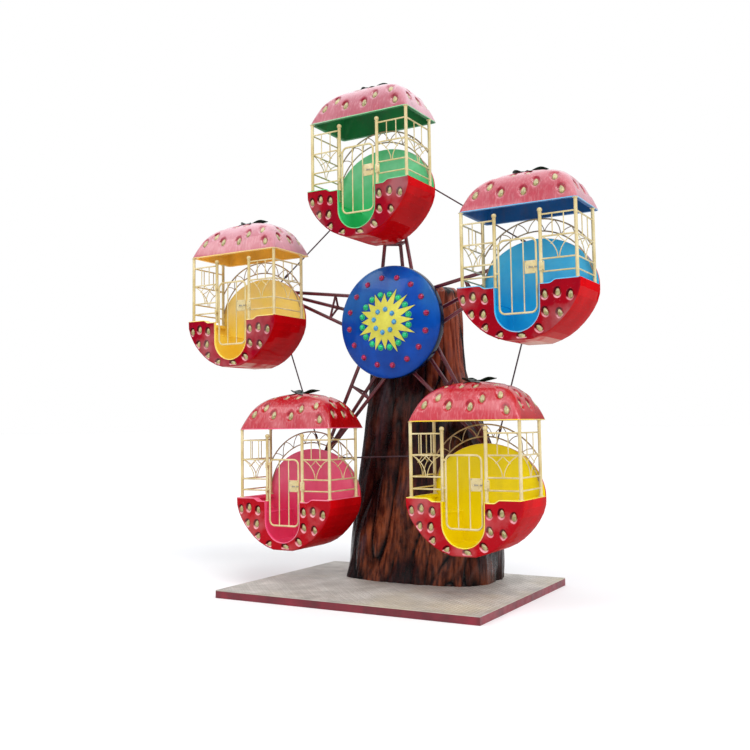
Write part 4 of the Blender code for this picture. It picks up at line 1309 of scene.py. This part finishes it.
def build_trunk():
    """Bark over the trunk's outline, row by row, with a shallow top and a number for every ridge."""
    table = spline(TRUNK_SHAPE, 12)
    base = DECK_Z + 0.0004
    shape = Shape()
    rings, ridges = [], []
    for i in range(TRUNK_UP + 1):
        z = TRUNK_TOP * i / TRUNK_UP
        k = 0
        while k < len(table) - 2 and table[k + 1][0] < z:
            k += 1
        lo, hi = table[k], table[k + 1]
        f = max(0.0, min(1.0, (z - lo[0]) / (hi[0] - lo[0])))
        row = [p + (q - p) * f for p, q in zip(lo[1:], hi[1:])]
        mid = Vector(((row[0] + row[1]) / 2, (row[2] + row[3]) / 2))
        crown = 1.0 - 0.10 * smooth((z - TRUNK_TOP + 0.05) / 0.05)
        ring = []
        for j in range(TRUNK_AROUND):
            x, y = trunk_point(row, j / TRUNK_AROUND)
            ridge = ridge_at(x, y, z)
            ridges.append(ridge)
            out = Vector((x, y)) - mid
            push = BARK_DEEP * (1.0 - ridge) * (1.0 + 0.5 * smooth((0.5 - z) / 0.5))
            q = mid + out.normalized() * (out.length * crown - push)
            ring.append((q.x, q.y, base + z))
        rings.append(ring)
    top = rings[-1]
    cx = sum(p[0] for p in top) / len(top)
    cy = sum(p[1] for p in top) / len(top)
    for i in range(1, 9):
        f = 1.0 - i / 8.5
        ring = []
        for x, y, z in top:
            px, py = cx + (x - cx) * f, cy + (y - cy) * f
            dip = 0.020 * (1 - f) * abs(noise.noise(Vector((px * 6, py * 6, 4.0))))
            ring.append((px, py, z - dip))
            ridges.append(0.55)
        rings.append(ring)
    shape.skin(rings)
    ob = shape.make("trunk_bark", [bark_paint()], 60.0)
    mark(ob, "ridge", ridges)
    return ob


def inside_trunk(x, y):
    """Whether a spot of the deck lies under the trunk."""
    row = TRUNK_SHAPE[0][1:]
    u = abs((x - (row[0] + row[1]) / 2) / ((row[1] - row[0]) / 2))
    v = abs((y - (row[2] + row[3]) / 2) / ((row[3] - row[2]) / 2))
    return u ** TRUNK_POWER + v ** TRUNK_POWER < TRUNK_COVER


# Bars of the tread plate: faces over six corners, spacing, half length, half width and height
BAR_FACES = ((0, 1, 4), (1, 5, 4), (1, 2, 5), (2, 3, 5), (3, 0, 4), (3, 4, 5), (0, 3, 2, 1))
BAR_PITCH = 0.0430
BAR_LONG = 0.0180
BAR_WIDE = 0.0052
BAR_HIGH = 0.0020
BARRED_X = 2.86
BARRED_Y = 2.18


def build_tread():
    """Raised bars of the tread plate, turned left and right in turn."""
    shape = Shape()
    corners = ((-BAR_LONG, 0, 0), (0, -BAR_WIDE, 0), (BAR_LONG, 0, 0), (0, BAR_WIDE, 0),
               (-BAR_LONG * 0.55, 0, BAR_HIGH), (BAR_LONG * 0.55, 0, BAR_HIGH))
    nx = int(BARRED_X / BAR_PITCH)
    ny = int(BARRED_Y / BAR_PITCH)
    for i in range(nx):
        for j in range(ny):
            x = (i - (nx - 1) / 2) * BAR_PITCH
            y = (j - (ny - 1) / 2) * BAR_PITCH
            if inside_trunk(x, y):
                continue
            turn = math.radians(45 if (i + j) % 2 else -45)
            c, s = math.cos(turn), math.sin(turn)
            start = len(shape.points)
            for u, v, z in corners:
                shape.points.append((x + u * c - v * s, y + u * s + v * c, DECK_Z - 0.0002 + z))
            for face in BAR_FACES:
                shape.faces.append(tuple(start + k for k in face))
                shape.paints.append(0)
    return shape


def build_housing():
    shape = Shape()
    shape.turned(((0.1930, 0.4100), (0.1990, 0.4125), (0.2000, 0.4180), (0.2000, 0.5990), (0.0920, 0.5990),
                  (0.0920, 0.4130), (0.0950, 0.4100)), (0, 0, HUB_Z), BACK, 64)
    return shape


# Paints
DIRT = srgb(92, 74, 56)
# Inside tones of each cabin: light, dark, above the rim and under the roof, the last a darker tone that
# paints the shade there
ACCENTS = ((srgb(62, 214, 128), srgb(38, 188, 100), srgb(136, 222, 166), srgb(24, 126, 64)),
           (srgb(26, 186, 236), srgb(12, 158, 220), srgb(84, 192, 230), srgb(10, 88, 150)),
           (srgb(252, 230, 0), srgb(246, 222, 0), srgb(252, 228, 10), srgb(236, 200, 0)),
           (srgb(244, 84, 130), srgb(230, 62, 108), srgb(244, 112, 142), srgb(200, 50, 90)),
           (srgb(255, 228, 96), srgb(252, 216, 76), srgb(250, 220, 140), srgb(252, 190, 62)))
# Roof tones of each cabin: sides, front (painted shade and sky reflection), top (partly painted highlight),
# and how far up a skin faces where the top's tone begins
ROOFS = ((srgb(206, 146, 158), srgb(166, 66, 82), srgb(208, 150, 162), 0.24),
         (srgb(196, 112, 126), srgb(174, 46, 64), srgb(206, 128, 138), 0.30),
         (srgb(190, 10, 18), srgb(190, 52, 66), srgb(184, 10, 18), 0.42),
         (srgb(186, 10, 16), srgb(182, 56, 68), srgb(184, 10, 18), 0.42),
         (srgb(212, 138, 152), srgb(178, 78, 92), srgb(212, 156, 168), 0.22))
# Front tone of each tub, a painted shade of its red: duller on the three high cabins
TUB_FRONT_SHADES = (srgb(132, 8, 30), srgb(134, 10, 28), srgb(168, 12, 26), srgb(166, 12, 28), srgb(136, 8, 32))
cream = enamel("cream_paint", srgb(222, 206, 158), srgb(200, 178, 118), srgb(128, 96, 66), (0.26, 0.44), 0.30,
               dirty=0.42, scale=6.0)
arch_paint = enamel("arch_paint", srgb(190, 166, 122), srgb(146, 118, 88), srgb(84, 62, 56), (0.3, 0.5), 0.1,
                    dirty=0.5, scale=8.0)
fitting = enamel("fitting_steel", srgb(176, 170, 158), srgb(120, 112, 100), srgb(70, 50, 36), (0.3, 0.5),
                 0.1, 0.8)
leaf_paint = enamel("leaf_gloss", srgb(10, 50, 36), srgb(4, 22, 16), srgb(34, 42, 30), (0.22, 0.40), 0.08,
                    scale=9.0, gloss=0.12)
maroon = enamel("maroon_paint", srgb(116, 34, 46), srgb(70, 18, 28), srgb(40, 22, 20), (0.28, 0.46), 0.4, 0.1,
                dirty=0.4, scale=5.0)
rod_paint = enamel("rod_paint", srgb(82, 44, 54), srgb(48, 28, 36), srgb(24, 16, 14), (0.32, 0.5), 0.2, 0.3)
disc_paint = disc_gloss()
star_paint = enamel("star_satin", srgb(220, 214, 88), srgb(198, 190, 66), srgb(140, 134, 70), (0.34, 0.5),
                    0.10, dirty=0.3, scale=5.0, gloss=0.3)
drum_paint = enamel("drum_dark", srgb(64, 34, 38), srgb(36, 22, 26), srgb(26, 20, 18), (0.35, 0.55),
                    0.15, 0.3)
edge_paint = enamel("edge_red", srgb(136, 22, 44), srgb(98, 14, 32), srgb(60, 34, 30), (0.34, 0.55), 0.2, 0.1,
                    dirty=0.45, scale=4.0)
seed = seed_paint()
bulb_paints = [bulb_paint("cap_pink", srgb(186, 6, 88), srgb(136, 2, 54)),
               bulb_paint("cap_green", srgb(0, 204, 132), srgb(0, 152, 90)),
               bulb_paint("cap_blue", srgb(86, 170, 214), srgb(44, 122, 178))]
sockets = [enamel("socket_pink", srgb(110, 14, 60), srgb(70, 8, 40), DIRT, shift=2.0),
           enamel("socket_green", srgb(20, 168, 110), srgb(10, 120, 76), DIRT, shift=3.0),
           enamel("socket_blue", srgb(70, 150, 196), srgb(40, 110, 160), DIRT, shift=4.0)]
plate_paint = tread_paint("plate_grey", srgb(196, 191, 182), srgb(166, 161, 152), 0.10, 0.55)
bar_paint = tread_paint("plate_bars", srgb(238, 235, 230), srgb(208, 204, 198), 0.15, 0.30)

# Masters of the pieces that repeat, removed once copied
tub_master, tub_seeds = build_tub()
merge(tub_master, tub_extras(tub_seeds).make("tub_extras", []))
crisp_along_y(tub_master.data, 6.0)
masters = {"roof": build_roof()}
for name, build in (("leaf", build_leaf), ("cage", build_cage), ("gate", build_gate), ("arm", build_arm),
                    ("tie", build_tie)):
    masters[name] = build().make(name + "_master", [])
hub_spot = Vector((0, 0, HUB_Z))
for k in range(CABINS):
    tag = str(k + 1)
    angle = FIRST_ANGLE + STEP * k
    spot = Vector((PIVOT_R * math.sin(angle), 0, HUB_Z + PIVOT_R * math.cos(angle)))
    light, dark, upper_tone, below = ACCENTS[k]
    side, front, top, top_from = ROOFS[k]
    # Above the rim the accent goes over to a paler tone
    accent = enamel("accent_" + tag, light, dark, DIRT, (0.30, 0.46), 0.10, dirty=0.12, shift=k * 2.3,
                    gloss=0.2, upper_tone=(upper_tone, RIM_Z - 0.12, RIM_Z + 0.16))
    # Roof underside: a darker accent tone as painted shade
    under = enamel("under_" + tag, below, shade(below, 0.7), DIRT, (0.4, 0.6), 0.0, dirty=0.25,
                   shift=k * 2.3 + 1, gloss=0.2)
    trim = enamel("trim_" + tag, shade(light, 0.6, 0.20), light, DIRT, (0.2, 0.4), 0.4, dirty=0.2, shift=k)
    # Deep red painted shade in the dents; for the tubs also a pale top tone as painted highlight on the
    # dents' lower walls
    roof_red = shell_red("roof_red_" + tag, side, front, top, top_from, srgb(132, 8, 28), k * 3.7, 0.45, 0.20)
    tub_red = shell_red("tub_red_" + tag, srgb(206, 8, 16), TUB_FRONT_SHADES[k], srgb(238, 176, 184), 0.10,
                        srgb(66, 4, 16), k * 5.1, 0.12, 0.0)
    tub = copy_of(tub_master, "tub_shell_" + tag, [tub_red, accent, seed, trim, fitting], spot)
    settle(tub, "cabin_" + tag, "tub_red", "tub_" + tag)
    roof = copy_of(masters["roof"], "roof_shell_" + tag, [roof_red, under, seed, trim], spot)
    settle(roof, "cabin_" + tag, "roof_red", "roof_" + tag)
    leaf = copy_of(masters["leaf"], "leaf_crown_" + tag, [leaf_paint], spot)
    settle(leaf, "cabin_" + tag, "leaf_green", "leaf_" + tag)
    cage = copy_of(masters["cage"], "cage_work_" + tag, [cream, fitting, arch_paint], spot)
    settle(cage, "cabin_" + tag, "cream_enamel", "cage_left_" + tag, "cage_right_" + tag, "cage_back_" + tag)
    hinge = Vector((spot.x + HINGE_X, HINGE_Y, spot.z))
    gate = copy_of(masters["gate"], "gate_work_" + tag, [cream, fitting], hinge)
    settle(gate, "door_" + tag, "cream_enamel", "gate_" + tag)
    arm = copy_of(masters["arm"], "arm_work_" + tag, [maroon, fitting], hub_spot, angle)
    settle(arm, "wheel", "arm_paint", "arm_" + tag)
    tie = copy_of(masters["tie"], "tie_work_" + tag, [rod_paint], hub_spot, angle + STEP / 2)
    settle(tie, "wheel", "rod_steel", "tie_rod_" + tag)
for master in list(masters.values()) + [tub_master]:
    bpy.data.objects.remove(master, do_unlink=True)
for blank in BLANKS:
    bpy.data.materials.remove(blank)

for build, name, mats, slot, node in (
        (build_disc, "disc_shell", [disc_paint], "disc_blue", "hub_disc"),
        (build_star, "star_sheet", [star_paint], "star_yellow", "hub_star"),
        (build_hub, "hub_work", [drum_paint, fitting], "bearing_steel", "hub_drum")):
    piece = build().make(name, mats, 30.0)
    piece.location = hub_spot
    settle(piece, "wheel", slot, node)
bulbs = build_bulbs().make("disc_bulbs", bulb_paints + sockets)
bulbs.location = hub_spot
settle(bulbs, "wheel", "disc_blue")

settle(build_trunk(), "tower", "trunk_shell", "trunk_tower")
settle(build_housing().make("housing_work", [drum_paint]), "tower", "bearing_steel", "axle_housing")
settle(build_tread().make("deck_bars", [bar_paint], 20.0), "tower", "tread_plate")
for node, mat in (("platform_frame", edge_paint), ("deck_plate", plate_paint)):
    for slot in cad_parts[node].material_slots:
        slot.material = mat

# Floor, light and camera
FLOOR_HALF = 400.0
floor_mesh = bpy.data.meshes.new("floor")
corners = [(x * FLOOR_HALF, y * FLOOR_HALF, 0) for x, y in ((-1, -1), (1, -1), (1, 1), (-1, 1))]
floor_mesh.from_pydata(corners, [], [(0, 1, 2, 3)])
floor = add("floor", floor_mesh)
floor.location.z = -0.001
pale = Paint("floor_pale")
seen = pale.mix(pale.level(pale.noise(0.6, 3.0), 0.3, 0.7), srgb(251, 251, 251), srgb(254, 254, 254))
floor_mesh.materials.append(pale.done(seen, 0.9))

world = bpy.data.worlds.new("studio")
bpy.context.scene.world = world
world.use_nodes = True
tree = world.node_tree
tree.nodes.clear()
ray = tree.nodes.new("ShaderNodeLightPath")
coords = tree.nodes.new("ShaderNodeTexCoord")
split = tree.nodes.new("ShaderNodeSeparateXYZ")


def sky(low_at, low, high_at, high, strength):
    """Background that goes from a tone near the horizon to another overhead."""
    ramp = tree.nodes.new("ShaderNodeValToRGB")
    for element, at, tone in zip(ramp.color_ramp.elements, (low_at, high_at), (low, high)):
        element.position = at
        element.color = (*tone, 1.0)
    back = tree.nodes.new("ShaderNodeBackground")
    back.inputs["Strength"].default_value = strength
    tree.links.new(split.outputs["Z"], ramp.inputs["Fac"])
    tree.links.new(ramp.outputs["Color"], back.inputs["Color"])
    return back


soft = sky(0.02, (0.42, 0.42, 0.44), 0.45, (0.95, 0.97, 1.0), 0.85)
dim = sky(0.10, (0.05, 0.05, 0.06), 0.62, (0.95, 0.97, 1.0), 1.6)
plain = tree.nodes.new("ShaderNodeBackground")
plain.inputs["Color"].default_value = (1.0, 1.0, 1.0, 1.0)
plain.inputs["Strength"].default_value = 1.0
mirrored = tree.nodes.new("ShaderNodeMixShader")
choose = tree.nodes.new("ShaderNodeMixShader")
out = tree.nodes.new("ShaderNodeOutputWorld")
for a, b in ((coords.outputs["Generated"], split.inputs[0]),
             (ray.outputs["Is Glossy Ray"], mirrored.inputs[0]), (soft.outputs[0], mirrored.inputs[1]),
             (dim.outputs[0], mirrored.inputs[2]),
             (ray.outputs["Is Camera Ray"], choose.inputs[0]), (mirrored.outputs[0], choose.inputs[1]),
             (plain.outputs[0], choose.inputs[2]), (choose.outputs[0], out.inputs["Surface"])):
    tree.links.new(a, b)


def lamp_at(name, lamp, at, aim):
    """Places a lamp so that it shines from one spot at another."""
    ob = add(name, lamp)
    ob.location = at
    ob.rotation_euler = (Vector(aim) - Vector(at)).to_track_quat("-Z", "Y").to_euler()


def sun(name, way, strength, spread):
    """Even light from one side, soft-edged; way points from the object to the light."""
    lamp = bpy.data.lights.new(name, "SUN")
    lamp.energy = strength
    lamp.angle = math.radians(spread)
    lamp_at(name, lamp, way, (0, 0, 0))


def softbox(name, at, aim, wide, tall, watts, colour):
    """Rectangular lamp aimed at a spot."""
    lamp = bpy.data.lights.new(name, "AREA")
    lamp.shape = "RECTANGLE"
    lamp.size = wide
    lamp.size_y = tall
    lamp.energy = watts
    lamp.color = colour
    lamp_at(name, lamp, at, aim)


sun("day", (6.0, -5.0, 8.0), 1.35, 30.0)
softbox("key", (-6.5, -8.5, 10.5), (0, 0, 2.8), 9.0, 3.0, 260.0, (1.0, 0.98, 0.96))
softbox("fill", (9.0, -4.0, 6.0), (0, 0, 2.4), 5.0, 5.0, 110.0, (0.95, 0.97, 1.0))

YAW = math.radians(30.34)
PITCH = math.radians(4.59)
ROLL = math.radians(-0.79)
EYE = (4.713, -8.403, 1.699)
LENS = 43.824
SENSOR = 36.0
SHIFT = (0.0009, -0.0280)
forward = Vector((-math.sin(YAW) * math.cos(PITCH), math.cos(YAW) * math.cos(PITCH), math.sin(PITCH)))
level_right = Vector((math.cos(YAW), math.sin(YAW), 0.0))
level_up = level_right.cross(forward)
right = level_right * math.cos(ROLL) + level_up * math.sin(ROLL)
up = level_up * math.cos(ROLL) - level_right * math.sin(ROLL)
camera_data = bpy.data.cameras.new("camera")
camera_data.lens = LENS
camera_data.sensor_width = SENSOR
camera_data.shift_x, camera_data.shift_y = SHIFT
camera = add("camera", camera_data)
turn = Matrix((right, up, -forward)).transposed().to_4x4()
camera.matrix_world = Matrix.Translation(EYE) @ turn
bpy.context.scene.camera = camera
bpy.context.scene.view_settings.view_transform = "Standard"
